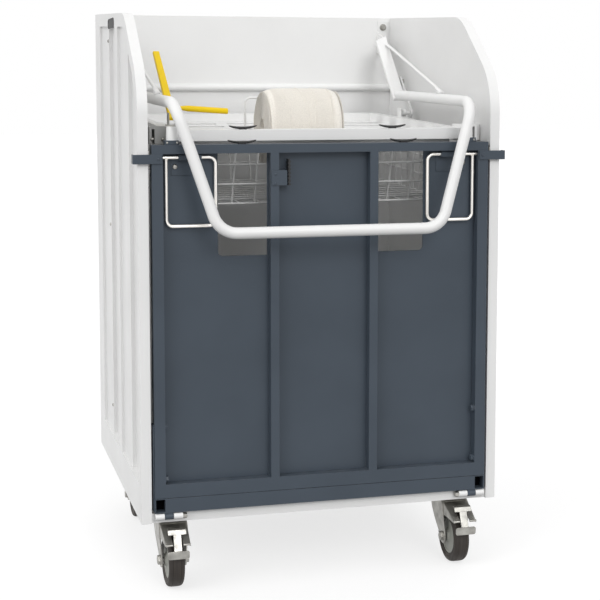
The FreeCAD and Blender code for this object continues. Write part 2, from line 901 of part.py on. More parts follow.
def pivot_bolts():
    """The pivots, and the hexagon screws that hold the bracket feet."""
    x0 = web_x - seat
    x1 = web_x + arm_t + seat + plate
    shaft = rod((x0, pivot_y, pivot_z), (x1, pivot_y, pivot_z), pivot_d)
    inner = hex_head((x0, pivot_y, pivot_z), (-1, 0, 0), pivot_af, pivot_inner_h)
    outer = hex_head((x1, pivot_y, pivot_z), (1, 0, 0), pivot_af, pivot_outer_h)
    screw_x = web_x + arm_t + seat + screw_af
    face = side_depth - plate
    screw = hex_head((screw_x, face, top_z - screw_drop), (0, -1, 0), screw_af, screw_h)
    return both_sides(fuse([shaft, inner, outer])) + both_sides(screw)


def link_bolts():
    x0 = web_x - link_inner_h
    x1 = link_x + link_t + seat
    shaft = rod((x0, link_pin_y, link_pin_z), (x1, link_pin_y, link_pin_z), link_pin_d)
    head = hex_head((x1, link_pin_y, link_pin_z), (1, 0, 0), link_af, link_head_h)
    inner = hex_head((x0, link_pin_y, link_pin_z), (1, 0, 0), link_af, link_inner_h)
    return both_sides(fuse([shaft, head, inner]))


def link(sign):
    """A flat bar with clipped corners and a hole at each end."""
    up = V(link_x, link_pin_y, link_pin_z)
    low = V(link_x, link_low_y, link_low_z)
    along = (low - up).normalize()
    half = link_w / 2
    across = V(0, -along.z, along.y) * half
    corners = []
    for pin, side in ((up, -1), (low, 1)):
        tip = pin + along * (side * half)
        shoulder = pin + along * (side * half * (1 - link_clip))
        inner = across * (side * (1 - link_clip))
        corners += [shoulder - across * side, tip - inner, tip + inner,
                    shoulder + across * side]
    bar = prism([tuple(p) for p in corners], [0] * 8, (link_t, 0, 0))
    for p, play in ((up, 2 * fit), (low, link_play)):
        bar = bar.cut(hole((link_x - 1, p.y, p.z), (link_x + link_t + 1, p.y, p.z),
                           link_pin_d + play))
    return bar if sign > 0 else bar.mirror(V(0, 0, 0), X_AXIS)


# ---- ram --------------------------------------------------------------------------------
def tilted(shape):
    """The ram rests with its rear edge a little higher."""
    turned = shape.copy()
    turned.rotate(V(0, ram_y0, ram_z0), X_AXIS, ram_tilt)
    return turned


def tilted_point(y, z):
    a = math.radians(ram_tilt)
    dy, dz = y - ram_y0, z - ram_z0
    return (ram_y0 + dy * math.cos(a) - dz * math.sin(a),
            ram_z0 + dy * math.sin(a) + dz * math.cos(a))


def ram_frame():
    z = (ram_z0, ram_top)
    w = ram_rail_w
    outer = box((-ram_x, ram_x), (ram_y0, ram_y1), z)
    inner = box((-ram_x + w, ram_x - w), (ram_y0 + w, ram_y1 - w), (z[0] - 1, z[1] + 1))
    t = tube_wall
    hollow = box((-ram_x + t, ram_x - t), (ram_y0 + t, ram_y1 - t), (z[0] + t, z[1] - t))
    keep = box((-ram_x + w - t, ram_x - w + t), (ram_y0 + w - t, ram_y1 - w + t), z)
    frame = tilted(outer.cut(inner).cut(hollow.cut(keep)))
    return fuse([frame] + link_bosses())


def link_bosses():
    """Stubs on the side rails, level with the links' lower holes."""
    y, z = link_low_y, link_low_z
    _, rail_z = tilted_point(y, ram_top)
    ear = box((ram_x - plate, ram_x), (y - boss_half, y + boss_half),
              (rail_z - tube_wall, z + boss_rise))
    boss = rod((ram_x, y, z), (link_x - seat, y, z), boss_d)
    return both_sides(fuse([ear, boss]))


def slat_places():
    """The Y values of the ram's cross channels, spread evenly inside the frame."""
    y0, y1 = ram_y0 + ram_rail_w, ram_y1 - ram_rail_w
    gap = (y1 - y0 - slat_count * slat_w) / (slat_count - 1)
    return [y0 + i * (slat_w + gap) for i in range(slat_count)]


def ram_floor():
    """Cross channels with open slots between, round a well for the twine spool."""
    x = ram_x - ram_rail_w
    top = slat_top
    z = (top - slat_h, top)
    well_x = spool_len / 2 + spool_side_gap
    reach = sling_r + cradle_wire_d / 2 + sheet
    well_y = (spool_y - reach, spool_y + reach)
    t = tube_wall
    places = slat_places()
    slats = []
    for y in places:
        slab = box((-x, x), (y, y + slat_w), z)
        groove = box((-x - 1, x + 1), (y + t, y + slat_w - t), (z[0] - 1, z[1] - t))
        slats.append(slab.cut(groove))
    spine = []
    for s in (-1, 1):
        side = (s * well_x, s * (well_x + spine_w))
        spine.append(box(side, (places[0], places[-1] + slat_w), (top - t, top)))
    rim_x = (-well_x - t, well_x + t)
    rims = [box(rim_x, (well_y[0] - t, well_y[0]), (z[0], top)),
            box(rim_x, (well_y[1], well_y[1] + t), (z[0], top))]
    well = box((-well_x, well_x), well_y, (z[0] - 1, top + 1))
    return tilted(fuse([s.cut(well) for s in slats] + spine + rims))


def basket_section():
    """Where the basket's front and rear panels start, and the height of their tops."""
    y0 = ram_y0 + ram_rail_w + wire_d / 2 + seat
    y1 = ram_y1 - ram_rail_w - wire_d / 2 - seat
    return y0, y1, slat_top - slat_h - basket_top_gap


def wire(start, end):
    return flat_wire([start, end], [0, 0], wire_d)


def basket_rows():
    """Heights of the level wires, from the bottom up."""
    _, _, top = basket_section()
    rows = int((top - basket_z) // basket_row)
    return [basket_z + k * basket_row for k in range(rows + 1)]


def leaning_y(z, top_y, side):
    """The Y of a panel that leans in towards the bottom; side is 1 at the front."""
    _, _, top = basket_section()
    return top_y + side * basket_lean * (top - z) / (top - basket_z)


def basket_panel(top_y, side):
    """The front or rear panel: leaning wires with level wires laid outside them."""
    _, _, top = basket_section()
    pitch = 2 * basket_x / (basket_count - 1)
    lay = wire_d * wire_lay
    reach = basket_x + lay + wire_d / 2
    wires = []
    for i in range(basket_count):
        x = -basket_x + i * pitch
        foot = (x, leaning_y(basket_z, top_y, side), basket_z)
        wires.append(wire((x, top_y, top), foot))
    for z in basket_rows():
        y = leaning_y(z, top_y, side) - side * lay
        wires.append(wire((-reach, y, z), (reach, y, z)))
    return fuse(wires)


def basket_bottom():
    """Long wires between the two panels' feet, with cross wires laid under them."""
    y0, y1, _ = basket_section()
    ends = basket_lean + wire_d / 2 + fit
    pitch = 2 * basket_x / (basket_count - 1)
    wires = []
    for i in range(basket_count):
        x = -basket_x + i * pitch
        wires.append(wire((x, y0 + ends, basket_z), (x, y1 - ends, basket_z)))
    inside = y1 - y0 - 2 * ends
    spaces = int(inside // (2 * pitch))
    reach = basket_x + wire_d / 2
    z = basket_z - wire_d * wire_lay
    for k in range(1, spaces):
        y = y0 + ends + inside * k / spaces
        wires.append(wire((-reach, y, z), (reach, y, z)))
    return fuse(wires)


def basket_sides():
    """Level wires that tie the front panel to the rear one at both ends."""
    y0, y1, _ = basket_section()
    gap = wire_d / 2 + fit - wire_d * wire_lay
    x = basket_x + wire_d * wire_lay
    wires = []
    for z in basket_rows()[1:]:
        start = (x, leaning_y(z, y0, 1) + gap, z)
        end = (x, leaning_y(z, y1, -1) - gap, z)
        wires += both_sides(wire(start, end))
    return wires


def ram_basket():
    """The welded wire basket under the ram, one solid for each panel."""
    y0, y1, _ = basket_section()
    panels = [basket_panel(y0, 1), basket_panel(y1, -1), basket_bottom()] + basket_sides()
    return Part.makeCompound([tilted(panel) for panel in panels])


def ram_cleats():
    return [tilted(c) for c in both_sides(cleat(cleat_x, ram_y0 + cleat_inset, ram_top))]


def ram_guides():
    """Slotted blocks at the front corners that run along the side walls."""
    x = (ram_x, inner_x - seat)
    y0 = ram_y0 + guide_block_y
    z = (ram_z0 - guide_block_low, ram_top + guide_block_up)
    block = box(x, (y0, y0 + guide_block_len), z)
    slot_x = (x[0] + x[1]) / 2 + guide_slot_w / 2
    slot = box((slot_x, slot_x + guide_slot_w), (y0 - 1, y0 + guide_slot_len),
               (z[0] - 1, z[1] - guide_slot_w))
    relief = box((x[1] - guide_relief_w, x[1] + 1), (y0 - 1, y0 + guide_relief_len),
                 (z[0] - 1, z[1] + 1))
    return both_sides(block.cut(slot).cut(relief))


def twine_spool():
    """A wound spool on its side, with a bore through it."""
    half, r = spool_len / 2, spool_d / 2
    core = spool_core_d / 2
    points = [(-half, core), (-half, r - spool_shoulder), (-half + spool_shoulder, r),
              (half - spool_shoulder, r), (half, r - spool_shoulder), (half, core)]
    return faceted_ring(points, V(0, spool_y, spool_z), spool_sides)


def spool_cradle():
    """Two wires that hang under the spool, and their hooks on the floor's rim."""
    r = sling_r
    wires = []
    for x in (-cradle_x, cradle_x):
        ends = []
        for s in (-1, 1):
            y = spool_y + s * r
            end_y = y + s * cradle_hook
            floor = max(tilted_point(y, slat_top)[1], tilted_point(end_y, slat_top)[1])
            top = floor + cradle_wire_d / 2 + fit
            ends.append([(x, end_y, top), (x, y, top)])
        low = spool_z - r
        sling = ends[0] + [(x, spool_y - r, low), (x, spool_y + r, low)] + ends[1][::-1]
        wires.append(flat_wire(sling, [0, 0, r, r, 0, 0], cradle_wire_d))
    return wires + [spool_guard()]


def spool_guard():
    """An inverted U of wire behind the spool."""
    z0, z1 = slat_top, slat_top + guard_h
    points = [(guard_x0, guard_y, z0), (guard_x0, guard_y, z1),
              (guard_x1, guard_y, z1), (guard_x1, guard_y, z0)]
    return tilted(flat_wire(points, [0, guard_bend, guard_bend, 0], cradle_wire_d))


# ---- hand levers ------------------------------------------------------------------------
def lever_bracket():
    """Two ears for the long lever and a post for the short pull handle."""
    _, z0 = tilted_point(lever_y, ram_top)
    ears = []
    for s in (-1, 1):
        x = lever_x + s * (lever_w / 2 + seat)
        ears.append(box((x, x + s * sheet), (lever_y - ear_half, lever_y + ear_half),
                        (z0 + 1, lever_z + ear_top)))
    foot = box((lever_x - lever_foot_half, lever_x + lever_foot_half),
               (lever_y - ear_half, lever_y + ear_half), (ram_top, ram_top + plate))
    return fuse(ears + [tilted(foot)])


def yellow_lever():
    """A channel-section lever that leans back from its pin."""
    w, h, t = lever_w, lever_depth, sheet
    outer = prism([(0, -w / 2, -h / 2), (0, w / 2, -h / 2), (0, w / 2, h / 2), (0, -w / 2, h / 2)],
                  [0] * 4, (lever_len, 0, 0))
    inner = box((-1, lever_len + 1), (-w / 2 + t, w / 2 - t), (-h / 2 + t, h / 2 + 1))
    tip = box((lever_len - lever_tip, lever_len), (-w / 2, w / 2), (-h / 2, h / 2))
    chamfer = prism([(lever_len - lever_chamfer, -w, h / 2), (lever_len + 1, -w, -h / 2 + t),
                     (lever_len + 1, -w, h)], [0, 0, 0], (0, 2 * w, 0))
    solid = outer.cut(inner.cut(tip)).cut(chamfer)
    solid.rotate(V(0, 0, 0), Z_AXIS, 90)
    solid.rotate(V(0, 0, 0), X_AXIS, lever_angle)
    solid.translate(V(lever_x, lever_y, lever_z))
    bore = hole((lever_x - w, lever_y, lever_z), (lever_x + w, lever_y, lever_z),
                lever_pin_d + 2 * fit)
    lean = math.radians(lever_angle)
    solid.translate(V(0, -math.cos(lean), -math.sin(lean)) * lever_heel)
    return solid.cut(bore)


def lever_mounts():
    return [lever_bracket(), lever_pin(), pull_post()]


def lever_pin():
    x = lever_w / 2 + seat + sheet
    return rod((lever_x - x, lever_y, lever_z), (lever_x + x, lever_y, lever_z), lever_pin_d)


def pull_post():
    """The upright that carries the pull handle."""
    _, z0 = tilted_point(pull_y, slat_top + 1)
    half = post_foot_half
    foot = tilted(box((pull_x - half, pull_x + half), (pull_y - half, pull_y + half),
                      (slat_top, slat_top + plate)))
    shoulder_z = pull_z - pull_d / 2 + pull_eye_cut - seat
    return fuse([rod((pull_x, pull_y, z0), (pull_x, pull_y, shoulder_z), post_d),
                 rod((pull_x, pull_y, z0), (pull_x, pull_y, pull_z + post_tip), lever_pin_d),
                 foot])


def pull_handle():
    """A tube with a flattened eye that turns on the post."""
    half = pull_d / 2 - pull_eye_cut
    eye = rod((pull_x, pull_y, pull_z - half), (pull_x, pull_y, pull_z + half), pull_eye_d)
    body = rod((pull_x + pull_neck, pull_y, pull_z), (pull_x + pull_len, pull_y, pull_z), pull_d)
    bore = hole((pull_x, pull_y, pull_z - pull_d), (pull_x, pull_y, pull_z + pull_d),
                lever_pin_d + 2 * fit)
    return fuse([eye, body]).cut(bore)


# ---- casters ----------------------------------------------------------------------------
def caster_places():
    """Name, X, Y and the way the wheel trails: the front pair is turned forward."""
    return [("front_left", -caster_x, front_caster_y), ("front_right", caster_x, front_caster_y),
            ("rear_left", -caster_x, rear_caster_y), ("rear_right", caster_x, rear_caster_y)]


def caster_plates():
    plates = []
    for _, x, y in caster_places():
        flat = box((x - caster_plate_x / 2, x + caster_plate_x / 2),
                   (y - caster_plate_y / 2, y + caster_plate_y / 2),
                   (fork_top_z + seat + plate, base_z))
        race = rod((x, y, fork_top_z + seat), (x, y, fork_top_z + seat + race_h), race_d)
        plates.append(fuse([flat, race]))
    return plates


def pedal_pin(y):
    """Where the brake pedal's cross pin lies: its Y and Z."""
    return y - pedal_pin_y, fork_top_z - fork_crown_h - pedal_pin_drop


def caster_fork(x, y, braked):
    """A pressed fork: a domed crown and two legs that run down to the axle."""
    gap = hub_boss_w / 2 + seat
    out = gap + fork_wall
    axle_y, axle_z = y - caster_offset, wheel_r
    crown_z = fork_top_z - fork_crown_h
    top = fork_crown_len / 2
    front, rear = y - fork_front, y + fork_rear
    crown = prism([(x - out, front + fork_lip, crown_z), (x - out, rear, crown_z),
                   (x - out, y + top, fork_top_z), (x - out, y - top, fork_top_z)],
                  [0] * 4, (2 * out, 0, 0))
    leg_points = [(rear, crown_z + 1), (front, crown_z + 1),
                  (front - fork_lip, crown_z - fork_crown_h)]
    for angle in range(160, 341, 45):
        turn = math.radians(angle)
        leg_points.append((axle_y + fork_eye_r * math.cos(turn),
                           axle_z + fork_eye_r * math.sin(turn)))
    leg_points.append((axle_y + fork_flare, axle_z + fork_eye_r))
    legs = []
    for s in (-1, 1):
        pts = [(x + s * gap, py, pz) for py, pz in leg_points]
        legs.append(prism(pts, [0] * len(pts), (s * fork_wall, 0, 0)))
    hollow = box((x - gap, x + gap), (front - 1, rear + 1), (0, fork_top_z - fork_lip))
    pieces = [crown.cut(hollow)] + legs
    if braked:
        pin_y, pin_z = pedal_pin(y)
        pieces.append(rod((x - out, pin_y, pin_z), (x + out, pin_y, pin_z), pedal_pin_d))
    solid = fuse(pieces)
    return solid.cut(hole((x - out - 1, axle_y, axle_z), (x + out + 1, axle_y, axle_z), axle_d))


def caster_axle(x, y):
    out = hub_boss_w / 2 + seat + fork_wall
    axle_y = y - caster_offset
    shaft = rod((x - out, axle_y, wheel_r), (x + out, axle_y, wheel_r), axle_d)
    pieces = [shaft]
    for s in (-1, 1):
        pieces.append(hex_head((x + s * out, axle_y, wheel_r), (s, 0, 0), axle_af, axle_head_w))
    return fuse(pieces)


def wheel_ring(points, x, y):
    return faceted_ring(points, V(x, y - caster_offset, wheel_r), wheel_sides)


def caster_hub(x, y):
    half, web = hub_boss_w / 2, hub_web_t / 2
    rim_r, rim_w = hub_d / 2, hub_rim_w / 2
    bore = (axle_d / 2 + fit) / math.cos(math.pi / wheel_sides)
    boss = hub_boss_d / 2
    points = [(-half, bore), (half, bore), (half, boss), (web, boss), (rim_w, rim_r),
              (-rim_w, rim_r), (-web, boss), (-half, boss)]
    return wheel_ring(points, x, y)


def caster_tyre(x, y):
    """The tyre grips the hub's rim and is a little wider."""
    half, rim = wheel_w / 2, hub_rim_w / 2
    low, tread = wheel_r - tyre_wall_h, half - tyre_edge_w
    points = [(-rim, hub_d / 2), (rim, hub_d / 2), (half, low), (tread, wheel_r),
              (-tread, wheel_r), (-half, low)]
    return wheel_ring(points, x, y)


def brake_pedal(x, y):
    """A bent tread plate on a cross pin between the fork's front ears."""
    pin_y, pin_z = pedal_pin(y)
    t = pedal_t
    half = pedal_barrel / 2
    gap = hub_boss_w / 2
    heel = V(x, pin_y + half - 2, pin_z + half)
    bend = V(x, heel.y - pedal_len, pin_z + pedal_dip)
    toe = bend + V(0, -pedal_lean, -pedal_drop)
    down = (toe - bend).normalize()
    inward = V(0, -down.z, down.y) * t
    stem_pts = [heel, bend, toe, toe + inward, bend + V(0, t / 2, -t), heel + V(0, 0, -t)]
    stem = slab_across(stem_pts, pedal_stem_w)
    pad_top = toe - down * pad_len
    pad = slab_across([pad_top, toe, toe + inward, pad_top + inward], pedal_w)
    bar = box((x - gap, x + gap), (heel.y - pedal_bar_w, heel.y), (heel.z - t, heel.z))
    barrel = box((x - gap, x + gap), (pin_y - half, pin_y + half), (pin_z - half, pin_z + half))
    bore = hole((x - 2 * gap, pin_y, pin_z), (x + 2 * gap, pin_y, pin_z), pedal_pin_d + 2 * fit)
    return fuse([stem, bar, pad, barrel]).cut(bore)


def slab_across(corners, width):
    """An outline in the Y-Z plane pushed to both sides of its own plane."""
    shifted = [tuple(c - X_AXIS * (width / 2)) for c in corners]
    return prism(shifted, [0] * len(corners), (width, 0, 0))


# ---- everything -------------------------------------------------------------------------
def main():
    os.makedirs("parts", exist_ok=True)
    wall = side_wall()
    save("side_wall_right", wall)
    save("side_wall_left", wall.mirror(V(0, 0, 0), X_AXIS))
    single = [("rear_wall", rear_wall), ("ledge_rail", ledge_rail), ("base_frame", base_frame),
              ("floor_plate", floor_plate), ("door_frame", door_frame),
              ("door_panel", door_panel), ("door_sill", door_sill),
              ("cutter_bracket", twine_cutter), ("cutter_blade", cutter_blade),
              ("bail_tube", bail_tube), ("ram_frame", ram_frame), ("ram_floor", ram_floor),
              ("ram_basket", ram_basket), ("twine_spool", twine_spool),
              ("yellow_lever", yellow_lever), ("pull_handle", pull_handle)]
    for name, make in single:
        save(name, make())
    groups = [("door_gussets", door_gussets),
              ("door_bolts", door_bolts), ("door_hooks", door_hooks),
              ("handle_guides", handle_guides),
              ("keepers", keepers), ("door_cleats", door_cleats), ("hinge_pins", hinge_pins),
              ("bail_arms", bail_arms), ("bail_braces", bail_braces),
              ("pivot_brackets", pivot_brackets), ("pivot_bolts", pivot_bolts),
              ("link_bolts", link_bolts), ("spool_cradle", spool_cradle),
              ("lever_mounts", lever_mounts),
              ("ram_cleats", ram_cleats), ("ram_guides", ram_guides),
              ("caster_plates", caster_plates)]
    for name, make in groups:
        save(name, Part.makeCompound(make()))
    for side, sign in (("left", -1), ("right", 1)):
        save("lock_handle_" + side, lock_handle(sign))
        save("link_" + side, link(sign))
    for place, x, y in caster_places():
        braked = place.startswith("front")
        save("caster_fork_" + place, caster_fork(x, y, braked))
        save("caster_axle_" + place, caster_axle(x, y))
        save("caster_hub_" + place, caster_hub(x, y))
        save("caster_tyre_" + place, caster_tyre(x, y))
        if braked:
            save("brake_pedal_" + place, brake_pedal(x, y))


main()
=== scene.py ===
"""A manual recycling baler on casters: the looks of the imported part, laid out as an add-on.

Blender's frame is the part's own, in metres: +X is the operator's right, -Y faces the operator
and +Z is up. Places below are given as the part's source gives them, in millimetres with Y
counted from the front edges of the side walls, and point() turns them into the frame.
"""
import json
import math

import bmesh
import bpy
from bpy.props import FloatProperty, FloatVectorProperty, IntProperty, PointerProperty
from mathutils import Matrix, Vector


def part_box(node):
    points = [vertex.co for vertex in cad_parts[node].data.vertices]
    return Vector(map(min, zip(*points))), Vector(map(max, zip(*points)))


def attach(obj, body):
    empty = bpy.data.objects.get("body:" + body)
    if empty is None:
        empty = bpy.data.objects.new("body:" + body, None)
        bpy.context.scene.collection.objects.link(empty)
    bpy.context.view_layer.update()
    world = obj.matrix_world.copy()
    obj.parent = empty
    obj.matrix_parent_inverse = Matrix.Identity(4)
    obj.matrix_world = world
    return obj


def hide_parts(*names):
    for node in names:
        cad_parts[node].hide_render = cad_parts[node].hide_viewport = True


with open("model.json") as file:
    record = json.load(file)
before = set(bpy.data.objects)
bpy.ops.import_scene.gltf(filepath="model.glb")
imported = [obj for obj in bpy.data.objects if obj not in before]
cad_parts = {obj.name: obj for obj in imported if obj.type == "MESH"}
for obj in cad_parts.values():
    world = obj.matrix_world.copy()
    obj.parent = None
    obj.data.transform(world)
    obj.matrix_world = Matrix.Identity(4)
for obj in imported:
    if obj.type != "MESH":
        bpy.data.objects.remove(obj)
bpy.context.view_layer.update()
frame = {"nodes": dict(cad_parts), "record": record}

bl_info = {
    "name": "Recycling baler",
    "version": (1, 0, 0),
    "blender": (4, 5, 0),
    "location": "3D View > Sidebar > Baler",
    "description": "Finishes, twine, wires, weld seams and small parts of a recycling baler",
    "category": "Object",
}

MM = 0.001
FRONT_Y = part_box("side_wall_right")[0].y
MERGE = 1e-5
FINISHES = {}

DUST = (0.42, 0.40, 0.36)
STEEL = (0.35, 0.35, 0.34)
PRIMER = (0.62, 0.62, 0.61)
SCUFFED = (0.075, 0.063, 0.052)
SHADOW = (0.004, 0.004, 0.005)

# Places that more than one piece uses, as (Y, Z) where X differs from piece to piece.
PIVOT = (715, 1262)
LINK_PIN = (586, 1161)
LINK_STUB = (501, 1078)
LINK_OUT = 12
RAM_FRONT_Y = 40
RAM_BOTTOM_Z = 1026
RAM_TILT = math.radians(2)
SLAT_TOP = 1047
FLOOR_DROP = 17
FLOOR_TOP = SLAT_TOP - FLOOR_DROP
PULL = (-299, 222, 1098)


# ---- settings --------------------------------------------------------------------------------
def colour_property(name, value):
    return FloatVectorProperty(name=name, description=name + " of the finish", subtype="COLOR",
                               size=3, min=0, max=1, default=value)


def size_property(name, description, value):
    return FloatProperty(name=name, description=description, subtype="DISTANCE", unit="LENGTH",
                         precision=4, default=value)


class BalerFinishes(bpy.types.PropertyGroup):
    white: colour_property("White enamel", (0.84, 0.84, 0.835))
    dark: colour_property("Dark enamel", (0.060, 0.077, 0.099))
    zinc: colour_property("Zinc plate", (0.46, 0.45, 0.42))
    rod: colour_property("Polished rod", (0.95, 0.92, 0.87))
    yellow: colour_property("Yellow enamel", (0.92, 0.64, 0.008))
    black: colour_property("Black plastic", (0.012, 0.012, 0.013))
    grey: colour_property("Grey plastic", (0.40, 0.40, 0.39))
    hub: colour_property("Wheel hub", (0.42, 0.43, 0.39))
    seal: colour_property("Caster seal", (0.10, 0.025, 0.02))
    tread: colour_property("Tyre rubber", (0.020, 0.015, 0.012))
    twine: colour_property("Twine", (0.90, 0.86, 0.79))


class BalerBail(bpy.types.PropertyGroup):
    tube: size_property("Tube", "Diameter of the bail's tube", 26 * MM)
    wall: size_property("Wall", "Wall of the bail's tube", 2 * MM)
    half_width: size_property("Half width", "From the middle to a side tube", 348 * MM)
    grip_half: size_property("Half grip", "From the middle to the end of the grip", 257 * MM)
    top_bend: size_property("Upper bend", "Radius of the upper bends", 60 * MM)
    low_bend: size_property("Lower bend", "Radius of the lower bends", 55 * MM)
    brace: size_property("Brace", "Diameter of the two braces", 8 * MM)


class BalerHandles(bpy.types.PropertyGroup):
    rod: size_property("Rod", "Diameter of the lock handles' rods", 8 * MM)
    pull: size_property("Pull", "Diameter of the pull handle", 14 * MM)


class BalerCasters(bpy.types.PropertyGroup):
    wheel: size_property("Wheel", "Diameter of the wheels", 125 * MM)
    rim: size_property("Rim", "Diameter of the hub where the tyre sits", 84 * MM)


class BalerTwine(bpy.types.PropertyGroup):
    strand: size_property("Strand", "Diameter of the twine", 2.3 * MM)
    pitch: size_property("Pitch", "Distance between neighbouring turns", 2.5 * MM)
    length: size_property("Length", "Length of the spool", 184 * MM)
    diameter: size_property("Diameter", "Diameter of the wound spool", 188 * MM)
    core: size_property("Core", "Diameter of the bore", 40 * MM)


class BalerWire(bpy.types.PropertyGroup):
    diameter: size_property("Wire", "Diameter of the basket's wires", 4.6 * MM)
    sides: IntProperty(name="Sides", description="Sides of each wire", default=10, min=6)
    sling: size_property("Sling", "Diameter of the wires under the spool", 6 * MM)
    basket_half: size_property("Basket", "Half the width of the basket", 321 * MM)


class BalerSeams(bpy.types.PropertyGroup):
    bead: size_property("Bead", "Width of a weld bead", 3.4 * MM)
    spacing: size_property("Ripple", "Distance between the ripples of a bead", 1.7 * MM)
    edge: size_property("Edge", "Radius of a folded sheet's edge", 0.9 * MM)


class BalerStage(bpy.types.PropertyGroup):
    floor: colour_property("Floor", (0.32, 0.32, 0.32))
    dome: FloatProperty(name="Dome", description="Strength of the even light", default=0.76)
    key: FloatProperty(name="Key", description="Strength of the lamp at the front", default=0.82)
    fill: FloatProperty(name="Fill", description="Strength of the lamp at the left", default=0.9)
    floor_size: size_property("Floor size", "Side of the floor", 60.0)
    camera: FloatVectorProperty(name="Camera", description="Place of the camera",
                                subtype="TRANSLATION", unit="LENGTH", size=3,
                                default=(-0.8674, -3.4193, 1.1501))
    yaw: FloatProperty(name="Yaw", description="Turn of the camera to the operator's right",
                       subtype="ANGLE", default=math.radians(14.742))
    pitch: FloatProperty(name="Pitch", description="How far the camera looks down",
                         subtype="ANGLE", default=math.radians(5.764))
    lens: FloatProperty(name="Lens", description="Focal length for a 36 mm sensor",
                        unit="CAMERA", default=84.68)
    shift: FloatProperty(name="Rise", description="Upward shift of the picture",
                         default=-0.12)


# ---- places and meshes -----------------------------------------------------------------------
def point(x, y, z):
    """A place of the part's source as a place in the frame."""
    return Vector((x * MM, y * MM + FRONT_Y, z * MM))


def mirrored(s, place):
    """A place of the part's source on the side that s gives, -1 for the left."""
    x, y, z = place
    return point(s * x, y, z)


def on_ram(x, y, z):
    """A place on the ram, which rests with its rear edge a little higher."""
    corner = point(0, RAM_FRONT_Y, RAM_BOTTOM_Z)
    return corner + Matrix.Rotation(RAM_TILT, 3, "X") @ (point(x, y, z) - corner)


def circle(count):
    """The angles of so many places round a circle."""
    return [math.tau * k / count for k in range(count)]


def arc(first, last, steps):
    """Angles from the first to the last, which are given in degrees."""
    return [math.radians(first + (last - first) * k / steps) for k in range(steps + 1)]


def linked(obj):
    bpy.context.scene.collection.objects.link(obj)
    return obj


def mesh_object(name, bm):
    mesh = bpy.data.meshes.new(name)
    bm.to_mesh(mesh)
    bm.free()
    return linked(bpy.data.objects.new(name, mesh))


def rounded_path(corners, radii, step=math.radians(7.5)):
    """Straight runs joined by arcs, as a list of places."""
    path = [Vector(corners[0])]
    for before, corner, after, radius in zip(corners, corners[1:], corners[2:], radii):
        corner = Vector(corner)
        back = (Vector(before) - corner).normalized()
        ahead = (Vector(after) - corner).normalized()
        half = back.angle(ahead) / 2
        reach = radius / math.tan(half)
        middle = corner + (back + ahead).normalized() * (radius / math.sin(half))
        start = corner + back * reach - middle
        turn = math.pi - 2 * half
        axis = back.cross(ahead).normalized() * -1
        count = max(2, math.ceil(turn / step))
        for i in range(count + 1):
            path.append(middle + Matrix.Rotation(turn * i / count, 3, axis) @ start)
    path.append(Vector(corners[-1]))
    return path


def curve_object(name, paths):
    curve = bpy.data.curves.new(name, "CURVE")
    curve.dimensions = "3D"
    for path in paths:
        spline = curve.splines.new("POLY")
        spline.points.add(len(path) - 1)
        for place, target in zip(path, spline.points):
            target.co = (*place, 1)
    return linked(bpy.data.objects.new(name, curve))


def baked(obj, name):
    """The evaluated object as a plain mesh, in place of the object."""
    graph = bpy.context.evaluated_depsgraph_get()
    mesh = bpy.data.meshes.new_from_object(obj.evaluated_get(graph))
    bpy.data.objects.remove(obj)
    plain = linked(bpy.data.objects.new(name, mesh))
    mesh.name = name
    return plain


def smooth(obj, angle=40):
    obj.data.shade_smooth()
    obj.data.set_sharp_from_angle(angle=math.radians(angle))
    return obj


def swept(name, paths, diameter, sides):
    """Round bars along paths, with flat closed ends."""
    obj = curve_object(name, paths)
    obj.data.bevel_depth = diameter / 2
    obj.data.bevel_resolution = sides // 4 - 1
    obj.data.use_fill_caps = True
    return smooth(baked(obj, name))


def folded(obj, edge):
    """Rounds an object's edges a little, as folding and pressing do."""
    obj.data.shade_smooth()
    bevel = obj.modifiers.new("Folded edges", "BEVEL")
    bevel.width = edge
    bevel.segments = 2
    bevel.limit_method = "ANGLE"
    bevel.angle_limit = math.radians(35)
    normals = obj.modifiers.new("Flat faces", "WEIGHTED_NORMAL")
    normals.keep_sharp = True
    return obj


def merged(node):
    """A CAD node's mesh with its corners joined, as the start of a new one."""
    bm = bmesh.new()
    bm.from_mesh(frame["nodes"][node].data)
    bmesh.ops.remove_doubles(bm, verts=bm.verts, dist=MERGE)
    return bm


def dressed(node, edge):
    """A merged copy of a CAD node with its folded edges rounded."""
    bm = merged(node)
    bmesh.ops.dissolve_limit(bm, angle_limit=math.radians(0.5), verts=bm.verts, edges=bm.edges)
    return folded(mesh_object(node + "_dressed", bm), edge)


def settle(obj, body, slot, *nodes, finish=None):
    """Every piece ends here: its finish, the body it rides on and the nodes it stands for."""
    obj.data.materials.clear()
    obj.data.materials.append(FINISHES[finish or slot])
    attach(obj, body)
    if nodes:
        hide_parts(*nodes)
    return obj


def smooth_piece(name, bm, body, slot, *nodes, angle=40, finish=None):
    """A finished piece with flowing faces, as turned, bent and moulded pieces have."""
    return settle(smooth(mesh_object(name, bm), angle), body, slot, *nodes, finish=finish)


def folded_piece(name, bm, edge, body, slot, *nodes):
    """A finished piece with flat faces and rounded edges."""
    return settle(folded(mesh_object(name, bm), edge), body, slot, *nodes)


# ---- node trees ------------------------------------------------------------------------------
def add(tree, kind, inputs=None, **settings):
    """A node with its settings, and its inputs given as values or as sockets to link from."""
    node = tree.nodes.new(kind)
    for key, value in settings.items():
        setattr(node, key, value)
    for key, value in (inputs or {}).items():
        if isinstance(value, bpy.types.NodeSocket):
            tree.links.new(value, node.inputs[key])
        else:
            node.inputs[key].default_value = value
    return node


def maths(tree, operation, first, second=None, clamp=False):
    inputs = {0: first} if second is None else {0: first, 1: second}
    return add(tree, "ShaderNodeMath", inputs, operation=operation, use_clamp=clamp).outputs[0]


